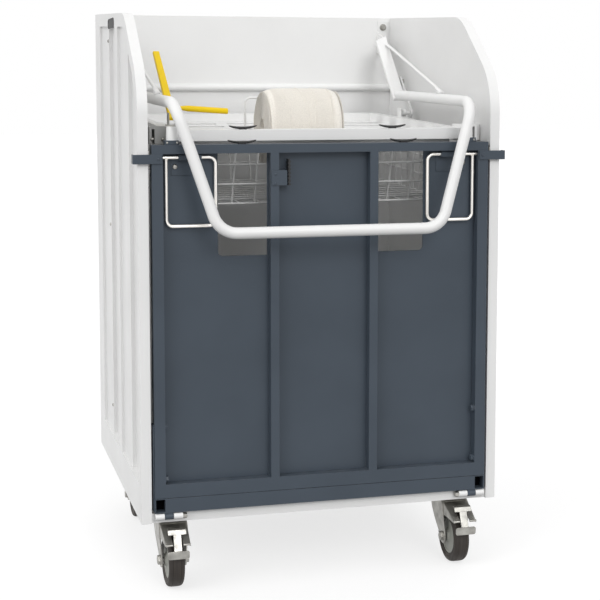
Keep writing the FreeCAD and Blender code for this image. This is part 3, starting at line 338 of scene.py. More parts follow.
def mixed(tree, factor, first, second):
    node = add(tree, "ShaderNodeMix", {0: factor, 6: first, 7: second}, data_type="RGBA")
    return node.outputs[2]


def stretched(tree, value, low, high, start=0.0, end=1.0):
    """A value's way from low to high, stretched from start to end."""
    inputs = {0: value, 1: low, 2: high, 3: start, 4: end}
    return add(tree, "ShaderNodeMapRange", inputs).outputs[0]


def vector(tree, x=0.0, y=0.0, z=0.0):
    return add(tree, "ShaderNodeCombineXYZ", {0: x, 1: y, 2: z}).outputs[0]


def noise(tree, scale, detail, where=None):
    """Noise at a place, or at the object's own coordinates."""
    where = where or add(tree, "ShaderNodeTexCoord").outputs["Object"]
    inputs = {"Vector": where, "Scale": scale, "Detail": detail, "Roughness": 0.5}
    return add(tree, "ShaderNodeTexNoise", inputs).outputs["Fac"]


def rgba(colour):
    return (*colour, 1.0)


def dimmed(colour, share):
    return [part * share for part in colour]


# The kind of a socket by its default: a number's type, or how many numbers a tuple holds.
SOCKETS = {float: "NodeSocketFloat", int: "NodeSocketInt", 3: "NodeSocketVector",
           4: "NodeSocketColor", "Geometry": "NodeSocketGeometry"}


def new_group(name, kind, inputs, outputs):
    """A node group; each input is named with its default, or with its kind if it has none."""
    group = bpy.data.node_groups.new(name, kind)
    for title, value in inputs.items():
        bare = isinstance(value, str)
        key = len(value) if isinstance(value, tuple) else type(value)
        socket = value if bare else SOCKETS[key]
        made = group.interface.new_socket(title, in_out="INPUT", socket_type=socket)
        if not bare:
            made.default_value = value
    for title, socket in outputs.items():
        group.interface.new_socket(title, in_out="OUTPUT", socket_type=SOCKETS[socket])
    return group, add(group, "NodeGroupInput").outputs, add(group, "NodeGroupOutput").inputs


def coating_group():
    """Sprayed or moulded colour: slow mottling, a fine orange-peel grain and uneven gloss."""
    tree, given, result = new_group(
        "Coating", "ShaderNodeTree",
        {"Colour": (1, 1, 1, 1), "Mottle": 0.05, "Grain": 700.0, "Roughness": 0.4},
        {"Colour": 4, "Roughness": float, "Height": float})
    slow = noise(tree, 7.0, 4.0)
    fine = noise(tree, given["Grain"], 2.0)
    depth = maths(tree, "MULTIPLY", given["Mottle"], stretched(tree, slow, 0.3, 0.7))
    shade = add(tree, "ShaderNodeHueSaturation",
                {"Value": maths(tree, "SUBTRACT", 1.0, depth), "Color": given["Colour"]})
    tree.links.new(shade.outputs[0], result["Colour"])
    uneven = maths(tree, "ADD", stretched(tree, slow, 0.3, 0.7, -0.05, 0.05),
                   stretched(tree, fine, 0.3, 0.7, -0.03, 0.03))
    tree.links.new(maths(tree, "ADD", given["Roughness"], uneven, clamp=True),
                   result["Roughness"])
    tree.links.new(fine, result["Height"])


def wear_group():
    """A mask on outward edges, broken up by noise."""
    tree, given, result = new_group(
        "Edge wear", "ShaderNodeTree",
        {"Width": 0.0015, "Amount": 0.5},
        {"Mask": float})
    turned = add(tree, "ShaderNodeBevel", {"Radius": given["Width"]}, samples=4)
    plain = add(tree, "ShaderNodeNewGeometry")
    same = add(tree, "ShaderNodeVectorMath", {0: turned.outputs[0], 1: plain.outputs["Normal"]},
               operation="DOT_PRODUCT").outputs["Value"]
    edge = stretched(tree, maths(tree, "SUBTRACT", 1.0, same), 0.02, 0.2)
    broken = stretched(tree, noise(tree, 60.0, 6.0), 0.5, 0.62)
    mask = maths(tree, "MULTIPLY", maths(tree, "MULTIPLY", edge, broken), given["Amount"],
                 clamp=True)
    tree.links.new(mask, result["Mask"])


def dust_group():
    """A mask of dust that settles on upward faces and gathers low down."""
    tree, given, result = new_group(
        "Dust", "ShaderNodeTree",
        {"On top": 0.3, "Low down": 0.2, "Height": 0.2},
        {"Mask": float})
    up = add(tree, "ShaderNodeSeparateXYZ",
             {0: add(tree, "ShaderNodeNewGeometry").outputs["Normal"]}).outputs["Z"]
    z = add(tree, "ShaderNodeSeparateXYZ",
            {0: add(tree, "ShaderNodeTexCoord").outputs["Object"]}).outputs["Z"]
    lying = maths(tree, "MULTIPLY", stretched(tree, up, 0.5, 1.0), given["On top"])
    low = maths(tree, "MULTIPLY", stretched(tree, z, given["Height"], 0.0), given["Low down"])
    patchy = stretched(tree, noise(tree, 35.0, 5.0), 0.35, 0.7)
    mask = maths(tree, "MULTIPLY", maths(tree, "ADD", lying, low), patchy, clamp=True)
    tree.links.new(mask, result["Mask"])


def streaks_group():
    """Fine lines along one axis, as a drawn, brushed or worn surface has."""
    tree, given, result = new_group(
        "Streaks", "ShaderNodeTree",
        {"Stretch": (900.0, 900.0, 20.0)},
        {"Value": float})
    where = add(tree, "ShaderNodeVectorMath",
                {0: add(tree, "ShaderNodeTexCoord").outputs["Object"], 1: given["Stretch"]},
                operation="MULTIPLY").outputs[0]
    tree.links.new(noise(tree, 1.0, 3.0, where), result["Value"])


def placed(tree, name, inputs):
    """The outputs of a node group, placed with its own values."""
    return add(tree, "ShaderNodeGroup", inputs, node_tree=bpy.data.node_groups[name]).outputs


def blank_material(name):
    material = FINISHES[name] = bpy.data.materials.new("baler_" + name)
    material.use_nodes = True
    tree = material.node_tree
    return tree, tree.nodes["Principled BSDF"]


def bump(tree, shader, height, strength, distance):
    node = add(tree, "ShaderNodeBump", {"Height": height, "Strength": strength,
                                        "Distance": distance})
    tree.links.new(node.outputs[0], shader.inputs["Normal"])


def enamel(name, colour, roughness, mottle, worn_to, wear, dust, specular=0.5):
    """Powder coat over steel."""
    tree, shader = blank_material(name)
    coating = placed(tree, "Coating", {"Colour": rgba(colour), "Mottle": mottle,
                                       "Roughness": roughness})
    worn = placed(tree, "Edge wear", {"Amount": wear})["Mask"]
    dusty = placed(tree, "Dust", {"On top": dust, "Low down": dust})["Mask"]
    base = mixed(tree, worn, coating["Colour"], rgba(worn_to))
    base = mixed(tree, dusty, base, rgba(DUST))
    tree.links.new(base, shader.inputs["Base Color"])
    tree.links.new(coating["Roughness"], shader.inputs["Roughness"])
    shader.inputs["Specular IOR Level"].default_value = specular
    bump(tree, shader, coating["Height"], 0.12, 0.0002)


def bare_metal(name, colour, roughness, stretch, spangle, dust):
    """Plated or drawn steel."""
    tree, shader = blank_material(name)
    lines = placed(tree, "Streaks", {"Stretch": stretch})["Value"]
    blotch = noise(tree, 45.0, 5.0)
    shade = maths(tree, "MULTIPLY", stretched(tree, blotch, 0.3, 0.7), spangle)
    base = mixed(tree, shade, rgba(colour), rgba(dimmed(colour, 0.45)))
    dusty = placed(tree, "Dust", {"On top": dust, "Low down": dust})["Mask"]
    base = mixed(tree, dusty, base, rgba(DUST))
    tree.links.new(base, shader.inputs["Base Color"])
    tree.links.new(maths(tree, "SUBTRACT", 1.0, dusty), shader.inputs["Metallic"])
    gloss = maths(tree, "ADD", stretched(tree, lines, 0.3, 0.7, -0.06, 0.06),
                  stretched(tree, blotch, 0.3, 0.7, roughness - 0.05, roughness + 0.1))
    tree.links.new(gloss, shader.inputs["Roughness"])
    bump(tree, shader, lines, 0.08, 0.0002)


def moulded(name, colour, dust):
    """Plastic from a mould, with a fine even grain."""
    tree, shader = blank_material(name)
    coating = placed(tree, "Coating", {"Colour": rgba(colour), "Mottle": 0.2, "Grain": 1500.0,
                                       "Roughness": 0.5})
    dusty = placed(tree, "Dust", {"On top": dust, "Low down": dust})["Mask"]
    tree.links.new(mixed(tree, dusty, coating["Colour"], rgba(DUST)),
                   shader.inputs["Base Color"])
    tree.links.new(coating["Roughness"], shader.inputs["Roughness"])
    bump(tree, shader, coating["Height"], 0.2, 0.0002)


def rubber(name, colour):
    """Tyre rubber, scuffed in lines round the wheel."""
    tree, shader = blank_material(name)
    lines = placed(tree, "Streaks", {"Stretch": (420.0, 9.0, 9.0)})["Value"]
    scuffed = stretched(tree, lines, 0.45, 0.75, 0.0, 0.75)
    base = mixed(tree, scuffed, rgba(colour), rgba(SCUFFED))
    dusty = placed(tree, "Dust", {"On top": 0.15, "Low down": 0.35, "Height": 0.03})["Mask"]
    tree.links.new(mixed(tree, dusty, base, rgba(DUST)), shader.inputs["Base Color"])
    tree.links.new(stretched(tree, lines, 0.3, 0.7, 0.55, 0.75), shader.inputs["Roughness"])
    bump(tree, shader, lines, 0.5, 0.0004)


def fibre(name, colour):
    """Twisted twine: fine slanting fibres with a soft sheen."""
    tree, shader = blank_material(name)
    fibres = placed(tree, "Streaks", {"Stretch": (900.0, 500.0, 500.0)})["Value"]
    base = mixed(tree, stretched(tree, fibres, 0.35, 0.7), rgba(colour),
                 rgba(dimmed(colour, 0.8)))
    tree.links.new(base, shader.inputs["Base Color"])
    shader.inputs["Roughness"].default_value = 0.75
    shader.inputs["Sheen Weight"].default_value = 0.25
    bump(tree, shader, fibres, 0.4, 0.0004)


class BALER_OT_finishes(bpy.types.Operator):
    """Make every finish and give it to the CAD nodes"""
    bl_idname = "baler.finishes"
    bl_label = "Finishes"

    def execute(self, context):
        colours = context.scene.baler_finishes
        for make in (coating_group, wear_group, dust_group, streaks_group):
            make()
        enamel("white_enamel", colours.white, roughness=0.38, mottle=0.03, worn_to=PRIMER,
               wear=0.0, dust=0.05)
        enamel("dark_enamel", colours.dark, roughness=0.42, mottle=0.12, worn_to=STEEL, wear=0.2,
               dust=0.05, specular=0.3)
        enamel("yellow_enamel", colours.yellow, roughness=0.4, mottle=0.06, worn_to=STEEL,
               wear=0.1, dust=0.0, specular=0.25)
        enamel("wire_white", dimmed(colours.white, 0.95), roughness=0.35, mottle=0.05,
               worn_to=STEEL, wear=0.1, dust=0.05)
        # Near black and matte: painted shadow for the dark inside of the sill's hollow ends.
        enamel("deep_dark", SHADOW, roughness=0.9, mottle=0.0, worn_to=STEEL, wear=0.0,
               dust=0.0, specular=0.0)
        bare_metal("zinc", colours.zinc, roughness=0.33, stretch=(300.0, 300.0, 300.0),
                   spangle=0.7, dust=0.1)
        bare_metal("polished_steel", colours.rod, roughness=0.36, stretch=(900.0, 40.0, 900.0),
                   spangle=0.15, dust=0.0)
        for name, colour, dust in (("black_plastic", colours.black, 0.1),
                                   ("grey_plastic", colours.grey, 0.1),
                                   ("hub_grey", colours.hub, 0.3), ("seal", colours.seal, 0.1)):
            moulded(name, colour, dust)
        rubber("tread", colours.tread)
        fibre("twine", colours.twine)
        # A darker copy of the twine for the spool's end faces: painted shade, as the ends stand in
        # shadow.
        fibre("twine_ends", dimmed(colours.twine, 0.75))
        for part in frame["record"]["subparts"]:
            node = frame["nodes"][part["node"]]
            node.data.materials.clear()
            node.data.materials.append(FINISHES[part["material_slot"]])
        return {"FINISHED"}


# ---- stage -----------------------------------------------------------------------------------
def seen_rays(tree):
    """One for rays that show the background: from the camera, off gloss and through glass."""
    path = add(tree, "ShaderNodeLightPath").outputs
    seen = maths(tree, "ADD", path["Is Camera Ray"], path["Is Glossy Ray"])
    return maths(tree, "ADD", seen, path["Is Transmission Ray"], clamp=True)


def lamp(name, place, spread, strength):
    """A wide soft lamp that shines from a place towards the middle of the floor."""
    light = bpy.data.lights.new(name, "SUN")
    light.angle = spread
    light.energy = strength
    obj = linked(bpy.data.objects.new(name, light))
    obj.location = place
    obj.rotation_euler = Vector(place).to_track_quat("Z", "Y").to_euler()


FLOOR_GLOW = 0.7
KEY_PLACE, KEY_SPREAD = (0.4, -3.4, 2.0), math.radians(24)
FILL_PLACE, FILL_SPREAD = (-2.5, -1.3, 2.2), math.radians(40)
SENSOR_WIDTH = 36


class BALER_OT_stage(bpy.types.Operator):
    """Make the floor, the lamps, the world and the camera"""
    bl_idname = "baler.stage"
    bl_label = "Stage"

    def execute(self, context):
        stage = context.scene.baler_stage
        bm = bmesh.new()
        bmesh.ops.create_grid(bm, x_segments=1, y_segments=1, size=stage.floor_size / 2)
        floor = mesh_object("floor", bm)
        tree, shader = blank_material("pale_floor")
        shader.inputs["Base Color"].default_value = rgba(stage.floor)
        shader.inputs["Roughness"].default_value = 0.9
        glow = maths(tree, "MULTIPLY", seen_rays(tree), FLOOR_GLOW)
        white = add(tree, "ShaderNodeEmission", {"Strength": glow})
        both = add(tree, "ShaderNodeAddShader", {0: shader.outputs[0], 1: white.outputs[0]})
        tree.links.new(both.outputs[0], tree.nodes["Material Output"].inputs["Surface"])
        floor.data.materials.append(FINISHES["pale_floor"])

        world = bpy.data.worlds.new("studio")
        context.scene.world = world
        world.use_nodes = True
        tree = world.node_tree
        strength = stretched(tree, seen_rays(tree), 0.0, 1.0, stage.dome, 1.0)
        tree.links.new(strength, tree.nodes["Background"].inputs["Strength"])
        tree.nodes["Background"].inputs["Color"].default_value = (1, 1, 1, 1)

        lamp("key", KEY_PLACE, KEY_SPREAD, stage.key)
        lamp("fill", FILL_PLACE, FILL_SPREAD, stage.fill)

        camera = bpy.data.cameras.new("camera")
        camera.sensor_width = SENSOR_WIDTH
        camera.lens = stage.lens
        camera.shift_y = stage.shift
        eye = linked(bpy.data.objects.new("camera", camera))
        eye.location = stage.camera
        eye.rotation_euler = (math.pi / 2 - stage.pitch, 0, -stage.yaw)
        context.scene.camera = eye
        context.scene.view_settings.view_transform = "Standard"
        return {"FINISHED"}


# ---- meshes for bars, turned pieces and heads ------------------------------------------------
def frames_along(path):
    """Two directions across the path at each place, carried along without twist."""
    across = None
    frames = []
    for i, place in enumerate(path):
        before = path[i - 1] if i else place
        after = path[i + 1] if i + 1 < len(path) else place
        along = (after - before).normalized()
        if across is None:
            guess = Vector((1, 0, 0)) if abs(along.x) < 0.8 else Vector((0, 0, 1))
            across = along.cross(guess).normalized()
        across = (across - along * across.dot(along)).normalized()
        frames.append((across, along.cross(across)))
    return frames


def skin(bm, rows, closed=True):
    """Faces between neighbouring rows of vertices; a closed row joins up with itself."""
    made = []
    for row, after in zip(rows, rows[1:]):
        for k in range(len(row) if closed else len(row) - 1):
            m = (k + 1) % len(row)
            made.append(bm.faces.new((row[k], row[m], after[m], after[k])))
    return made


def close_ends(bm, rows):
    return [bm.faces.new(rows[0][::-1]), bm.faces.new(rows[-1])]


def sweep(bm, path, radius, sides, shapes=None, caps=True):
    """A bar along a path; shapes gives its half sizes across at each place."""
    rings = []
    for i, (place, (u, v)) in enumerate(zip(path, frames_along(path))):
        wide, high = shapes[i] if shapes else (radius, radius)
        rings.append([bm.verts.new(place + u * (wide * math.cos(turn))
                                   + v * (high * math.sin(turn))) for turn in circle(sides)])
    skin(bm, rings)
    if caps:
        close_ends(bm, rings)
    return rings


def hollow_bar(bm, path, radius, inner):
    """A tube with a wall that shows at both open ends."""
    outer = sweep(bm, path, radius, 32, caps=False)
    bore = sweep(bm, path[::-1], inner, 32, caps=False)
    for one, other in ((outer[0], bore[-1]), (outer[-1], bore[0])):
        bmesh.ops.bridge_loops(bm, edges=loop_edges(one) + loop_edges(other))
    bmesh.ops.recalc_face_normals(bm, faces=bm.faces)


def loop_edges(ring):
    """The edges between neighbouring vertices of a ring."""
    return [edge for here, ahead in zip(ring, ring[1:] + ring[:1])
            for edge in here.link_edges if edge.other_vert(here) is ahead]


def rings_about(bm, profile, centre, axis, sides):
    """A ring of vertices for each (along, radius), about an axis through the centre."""
    spin = Vector(axis).to_track_quat("Z", "Y").to_matrix()
    return [[bm.verts.new(centre + spin @ Vector((radius * math.cos(turn),
                                                  radius * math.sin(turn), along)))
             for turn in circle(sides)] for along, radius in profile]


def turned(bm, profile, centre, axis, sides):
    """A closed outline of (along, radius) turned about an axis through the centre."""
    rings = rings_about(bm, profile, centre, axis, sides)
    skin(bm, rings + rings[:1])
    bmesh.ops.recalc_face_normals(bm, faces=bm.faces)


def capped(bm, profile, centre, axis, sides):
    """An open outline turned about an axis, its two ends closed by flat faces."""
    rings = rings_about(bm, profile, centre, axis, sides)
    skin(bm, rings)
    close_ends(bm, rings)


def pin(bm, profile, centre, axis, sides=24):
    """A capped outline whose sizes are given in millimetres."""
    capped(bm, [(along * MM, radius * MM) for along, radius in profile], centre, axis, sides)


def block(bm, low, high):
    """A box between two places."""
    size = Vector([abs(b - a) for a, b in zip(low, high)])
    middle = (low + high) / 2
    for vert in bmesh.ops.create_cube(bm, size=1.0)["verts"]:
        vert.co = Vector([c * s for c, s in zip(vert.co, size)]) + middle


def slab(bm, corners, along):
    """A flat outline pushed along a vector."""
    ends = [[bm.verts.new(Vector(c) + Vector(push)) for c in corners]
            for push in ((0, 0, 0), along)]
    close_ends(bm, ends)
    skin(bm, ends)
    bmesh.ops.recalc_face_normals(bm, faces=bm.faces)


class Space:
    """The room of a CAD node, in millimetres as its source counts them."""
    def __init__(self, node):
        low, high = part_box(node)
        self.x = (low.x / MM, high.x / MM)
        self.y = ((low.y - FRONT_Y) / MM, (high.y - FRONT_Y) / MM)
        self.z = (low.z / MM, high.z / MM)
        self.middle = [(a + b) / 2 for a, b in (self.x, self.y, self.z)]


# ---- node trees for what repeats -------------------------------------------------------------
def geometry_tree(name, inputs):
    """A tree that takes geometry and its finish, and puts out geometry."""
    given = {"Geometry": "NodeSocketGeometry", **inputs, "Finish": "NodeSocketMaterial"}
    return new_group(name, "GeometryNodeTree", given, {"Geometry": "Geometry"})


def finished_with(tree, geometry, given, result):
    """Every tree ends here, because the export takes neither instances nor bare meshes."""
    real = add(tree, "GeometryNodeRealizeInstances", {0: geometry}).outputs[0]
    coated = add(tree, "GeometryNodeSetMaterial",
                 {"Geometry": real, "Material": given["Finish"]}).outputs[0]
    tree.links.new(coated, result["Geometry"])


def heads_tree():
    """A head on every point, along its direction and turned by chance."""
    tree, given, result = geometry_tree("Heads", {"Head": "NodeSocketObject", "Seed": 1})
    way = add(tree, "GeometryNodeInputNamedAttribute", {"Name": "way"},
              data_type="FLOAT_VECTOR").outputs[0]
    facing = add(tree, "FunctionNodeAlignRotationToVector", {"Vector": way}, axis="Z").outputs[0]
    spin = add(tree, "FunctionNodeRandomValue",
               {"Min": 0.0, "Max": math.tau, "Seed": given["Seed"]}, data_type="FLOAT")
    about = vector(tree, z=spin.outputs[1])
    turn = add(tree, "FunctionNodeRotateRotation", {0: facing}, rotation_space="LOCAL")
    euler = add(tree, "FunctionNodeEulerToRotation", {0: about}).outputs[0]
    tree.links.new(euler, turn.inputs[1])
    head = add(tree, "GeometryNodeObjectInfo", {"Object": given["Head"]}).outputs["Geometry"]
    placed_heads = add(tree, "GeometryNodeInstanceOnPoints",
                       {"Points": given["Geometry"], "Instance": head,
                        "Rotation": turn.outputs[0]}).outputs[0]
    finished_with(tree, placed_heads, given, result)


def beads_tree():
    """Flat ripples along the paths, as a weld bead has."""
    tree, given, result = geometry_tree(
        "Weld beads", {"Width": 0.003, "Spacing": 0.002, "Seed": 1})
    spots = add(tree, "GeometryNodeCurveToPoints",
                {"Curve": given["Geometry"], "Length": given["Spacing"]}, mode="LENGTH")
    grain = add(tree, "GeometryNodeMeshUVSphere", {"Segments": 8, "Rings": 6, "Radius": 0.5})
    swell = add(tree, "FunctionNodeRandomValue",
                {2: 0.85, 3: 1.15, "Seed": given["Seed"]}, data_type="FLOAT").outputs[1]
    width = maths(tree, "MULTIPLY", given["Width"], swell)
    size = vector(tree, width, width, maths(tree, "MULTIPLY", given["Spacing"], 1.7))
    ripples = add(tree, "GeometryNodeInstanceOnPoints",
                  {"Points": spots.outputs["Points"], "Instance": grain.outputs["Mesh"],
                   "Rotation": spots.outputs["Rotation"], "Scale": size}).outputs[0]
    flowing = add(tree, "GeometryNodeSetShadeSmooth", {0: ripples}).outputs[0]
    finished_with(tree, flowing, given, result)


def panel_tree():
    """A welded wire panel: upright wires, and level wires laid on one side of them."""
    tree, given, result = geometry_tree(
        "Wire panel", {"Width": 0.6, "Height": 0.15, "Columns": 13, "Rows": 4, "Overhang": 0.003,
                       "Row step": 0.05, "First row": 0.0, "Lay": 0.003, "Wire": 0.0046,
                       "Sides": 10})
    half = maths(tree, "MULTIPLY", given["Width"], -0.5)
    gaps = maths(tree, "SUBTRACT", given["Columns"], 1.0)
    pitch = maths(tree, "DIVIDE", given["Width"], gaps)
    reach = maths(tree, "SUBTRACT", half, given["Overhang"])
    left = vector(tree, reach)
    right = add(tree, "ShaderNodeVectorMath", {0: left, 1: (-1, 1, 1)},
                operation="MULTIPLY").outputs[0]
    sets = ((given["Columns"], vector(tree, half), vector(tree, pitch),
             (0, 0, 0), vector(tree, z=given["Height"])),
            (given["Rows"], vector(tree, y=given["Lay"], z=given["First row"]),
             vector(tree, z=given["Row step"]), left, right))
    wires = add(tree, "GeometryNodeJoinGeometry")
    for count, first, step, start, end in sets:
        spots = add(tree, "GeometryNodeMeshLine",
                    {"Count": count, "Start Location": first, "Offset": step}).outputs[0]
        wire = add(tree, "GeometryNodeCurvePrimitiveLine", {"Start": start, "End": end}).outputs[0]
        laid = add(tree, "GeometryNodeInstanceOnPoints",
                   {"Points": spots, "Instance": wire}).outputs[0]
        tree.links.new(laid, wires.inputs[0])
    rounded(tree, wires.outputs[0], given, result)


def rounded(tree, curves, given, result):
    """Curves become round wires with closed ends."""
    real = add(tree, "GeometryNodeRealizeInstances", {0: curves}).outputs[0]
    half = maths(tree, "MULTIPLY", given["Wire"], 0.5)
    ring = add(tree, "GeometryNodeCurvePrimitiveCircle",
               {"Resolution": given["Sides"], "Radius": half}).outputs[0]
    bars = add(tree, "GeometryNodeCurveToMesh",
               {"Curve": real, "Profile Curve": ring, "Fill Caps": True}).outputs[0]
    finished_with(tree, add(tree, "GeometryNodeSetShadeSmooth", {0: bars}).outputs[0],
                  given, result)


def turns_along(tree, given):
    """A line of points, how far along each one is, and the sine and cosine of its turn."""
    line = add(tree, "GeometryNodeMeshLine", {"Count": given["Steps"]}).outputs[0]
    curve = add(tree, "GeometryNodeMeshToCurve", {0: line}).outputs[0]
    index = add(tree, "GeometryNodeInputIndex").outputs[0]
    share = maths(tree, "DIVIDE", index, maths(tree, "SUBTRACT", given["Steps"], 1.0))
    turn = maths(tree, "MULTIPLY", maths(tree, "MULTIPLY", share, given["Turns"]), math.tau)
    return curve, share, maths(tree, "SINE", turn), maths(tree, "COSINE", turn)


def wander(tree, given, along, sine, cosine, scale, detail):
    """A push that changes slowly from turn to turn, as hand-wound twine has."""
    uneven = noise(tree, scale, detail, vector(tree, along, sine, cosine))
    return maths(tree, "MULTIPLY", maths(tree, "SUBTRACT", uneven, 0.5), given["Wobble"])


def wound(tree, given, result, curve, along, radius, sine, cosine):
    """Sets the points round the axis and makes the line a strand."""
    place = vector(tree, along, maths(tree, "MULTIPLY", radius, sine),
                   maths(tree, "MULTIPLY", radius, cosine))
    moved = add(tree, "GeometryNodeSetPosition", {"Geometry": curve, "Position": place}).outputs[0]
    rounded(tree, moved, given, result)


def winding_tree():
    """Turns of twine that run from one end of the spool to the other and lean a little."""
    tree, given, result = geometry_tree(
        "Winding", {"Turns": 70.0, "Length": 0.18, "Radius": 0.093, "Steps": 3000, "Lean": 0.006,
                    "End drop": 0.01, "Wobble": 0.0006, "Wire": 0.0023, "Sides": 6})
    curve, share, sine, cosine = turns_along(tree, given)
    centred = maths(tree, "SUBTRACT", share, 0.5)
    along = maths(tree, "MULTIPLY", centred, given["Length"])
    leaning = maths(tree, "MULTIPLY", sine, given["Lean"])
    wobble = wander(tree, given, maths(tree, "MULTIPLY", along, 60.0), sine, cosine, 2.3, 2.0)
    edge = maths(tree, "POWER", maths(tree, "ABSOLUTE", centred), 9.0)
    drop = maths(tree, "MULTIPLY", maths(tree, "MULTIPLY", edge, 512.0), given["End drop"])
    radius = maths(tree, "SUBTRACT", maths(tree, "ADD", given["Radius"], wobble), drop)
    wound(tree, given, result, curve, maths(tree, "ADD", along, leaning), radius, sine, cosine)


def coil_face_tree():
    """The turns that show on an end of the spool: a flat spiral with loose strands."""
    tree, given, result = geometry_tree(
        "Coil face", {"Inner": 0.02, "Outer": 0.09, "Turns": 28.0, "Steps": 1100,
                      "Wobble": 0.003, "Wire": 0.0023, "Sides": 6})
    curve, share, sine, cosine = turns_along(tree, given)
    span = maths(tree, "SUBTRACT", given["Outer"], given["Inner"])
    radius = maths(tree, "ADD", given["Inner"], maths(tree, "MULTIPLY", share, span))
    loose = wander(tree, given, maths(tree, "MULTIPLY", share, 40.0), sine, cosine, 3.0, 3.0)
    wound(tree, given, result, curve, loose, radius, sine, cosine)


def empty_point(name):
    """A mesh of one vertex for a tree that makes its own shape."""
    bm = bmesh.new()
    bm.verts.new((0, 0, 0))
    return mesh_object(name, bm)


def grown(obj, tree_name, name, finish, **values):
    """Runs a node tree on an object and keeps the result as a plain mesh."""
    tree = bpy.data.node_groups[tree_name]
    modifier = obj.modifiers.new(tree_name, "NODES")
    modifier.node_group = tree
    values = {key.replace("_", " "): value for key, value in values.items()}
    values["Finish"] = FINISHES[finish]
    for item in tree.interface.items_tree:
        if item.item_type == "SOCKET" and item.in_out == "INPUT" and item.name in values:
            modifier[item.identifier] = values[item.name]
    return baked(obj, name)


def beads(name, paths, body, slot, seams, width=None):
    """Weld beads along paths, on one body."""
    obj = grown(curve_object(name + "_path", paths), "Weld beads", name, slot,
                Width=width or seams.bead, Spacing=seams.spacing, Seed=len(paths))
    return settle(obj, body, slot)


def heads(name, head, spots, body, slot, seed, *nodes):
    """One copy of a head for each place and direction, on one body."""
    bm = bmesh.new()
    for place, _ in spots:
        bm.verts.new(place)
    obj = mesh_object(name + "_spots", bm)
    ways = obj.data.attributes.new("way", "FLOAT_VECTOR", "POINT")
    for item, (_, way) in zip(ways.data, spots):
        item.vector = way
    obj = grown(obj, "Heads", name, slot, Head=head, Seed=seed)
    settle(smooth(obj, 30), body, slot, *nodes)


def hex_screw(name, flats, height, washer):
    """A chamfered hexagon head with a washer under it."""
    bm = bmesh.new()
    base = height * 0.2
    capped(bm, [(-0.5 * MM, washer / 2), (base * 0.8, washer / 2), (base, washer / 2 - 0.4 * MM)],
           Vector(), (0, 0, 1), 24)
    r = flats / math.sqrt(3)
    capped(bm, [(base, r), (base + height * 0.8, r), (base + height, r * 0.86)],
           Vector(), (0, 0, 1), 6)
    return mesh_object(name, bm)


def dome_screw(name, width, height, recess=0.8 * MM):
    """A domed head with a small round recess."""
    bm = bmesh.new()
    r = width / 2
    dome = [(height * math.sin(turn), r * math.cos(turn)) for turn in arc(0, 72, 4)]
    capped(bm, [(-0.4 * MM, r), *dome, (height * 0.97, r * 0.26), (height - recess, r * 0.22)],
           Vector(), (0, 0, 1), 20)
    return mesh_object(name, bm)


class BALER_OT_trees(bpy.types.Operator):
    """Build the node trees that place heads, beads, wires and twine"""
    bl_idname = "baler.trees"
    bl_label = "Node trees"

    def execute(self, context):
        for make in (heads_tree, beads_tree, panel_tree, winding_tree, coil_face_tree):
            make()
        return {"FINISHED"}


# ---- sheet metal -----------------------------------------------------------------------------
SHEET_NODES = {
    "housing": {"white_enamel": ["side_wall_left", "side_wall_right", "rear_wall", "base_frame",
                                 "floor_plate", "pivot_brackets", "ledge_rail"],
                "zinc": ["keepers", "hinge_pins"]},
    "door": {"dark_enamel": ["door_frame", "door_panel", "door_sill", "door_gussets",
                             "door_hooks", "handle_guides"]},
    "ram": {"white_enamel": ["ram_frame"]},
}


MOVED_NODES = (("ram_floor", "ram", (0, 0, -FLOOR_DROP)),
               ("link_left", "link_left", (-LINK_OUT, 0, 0)),
               ("link_right", "link_right", (LINK_OUT, 0, 0)))
GUIDES = ((-1, "ram_guides_left", "grey_plastic", ("ram_guides",)),
          (1, "ram_guides_right", "white_enamel", ()))
BLOCK_HALF = 10


class BALER_OT_sheet_metal(bpy.types.Operator):
    """Round the folded edges of the walls, the door, the links and the ram"""
    bl_idname = "baler.sheet_metal"
    bl_label = "Sheet metal"

    def execute(self, context):
        edge = context.scene.baler_seams.edge
        for body, finishes in SHEET_NODES.items():
            for slot, nodes in finishes.items():
                for node in nodes:
                    settle(dressed(node, edge), body, slot, node)
        for node, body, shift in MOVED_NODES:
            obj = dressed(node, edge)
            obj.data.transform(Matrix.Translation(Vector(shift) * MM))
            settle(obj, body, "white_enamel", node)
        for s, name, finish, nodes in GUIDES:
            obj = folded(self.one_side("ram_guides", s, name), edge)
            settle(obj, "ram", "grey_plastic", *nodes, finish=finish)
        self.post_block(edge)
        return {"FINISHED"}

    def one_side(self, node, s, name):
        """The half of a mirrored node that lies on one side of the middle plane."""
        bm = merged(node)
        others = [vert for vert in bm.verts if vert.co.x * s < 0]
        bmesh.ops.delete(bm, geom=others, context="VERTS")
        return mesh_object(name, bm)

    def post_block(self, edge):
        """What the pull handle's post stands on, above the lowered floor."""
        bm = bmesh.new()
        corners = [on_ram(PULL[0] + a * BLOCK_HALF, PULL[1] + b * BLOCK_HALF, FLOOR_TOP)
                   for a, b in ((-1, -1), (1, -1), (1, 1), (-1, 1))]
        slab(bm, corners, (0, 0, FLOOR_DROP * MM))
        folded_piece("post_block", bm, edge, "ram", "white_enamel")


# ---- bail ------------------------------------------------------------------------------------
BAIL_END = (509, 1125)
BAIL_FRONT = (-25, 1112)
BAIL_GRIP = (-70, 828)
BRACE_TOP = (359, 641, 1262)
BRACE_FOOT = (350, 190, 1134.3)
ARM_FACE = (509, 1128)
ARM_LOW_Y = 497
ARM_TOPS = ((331, 655), (363, 667))
ARM_DEPTH = 9.5
ARM_EDGE = 1.6 * MM
ARM_WEB = (360.9, 363.9)
# The plate under the arm, as (Y, Z): it runs round the pivot and the link's pin.
ARM_WEB_START = (503, 1121)
ARM_WEB_ARCS = ((PIVOT, 20, 115, -60), (LINK_PIN, 17, -40, -150))
ARM_WEB_END = (512, 1110)


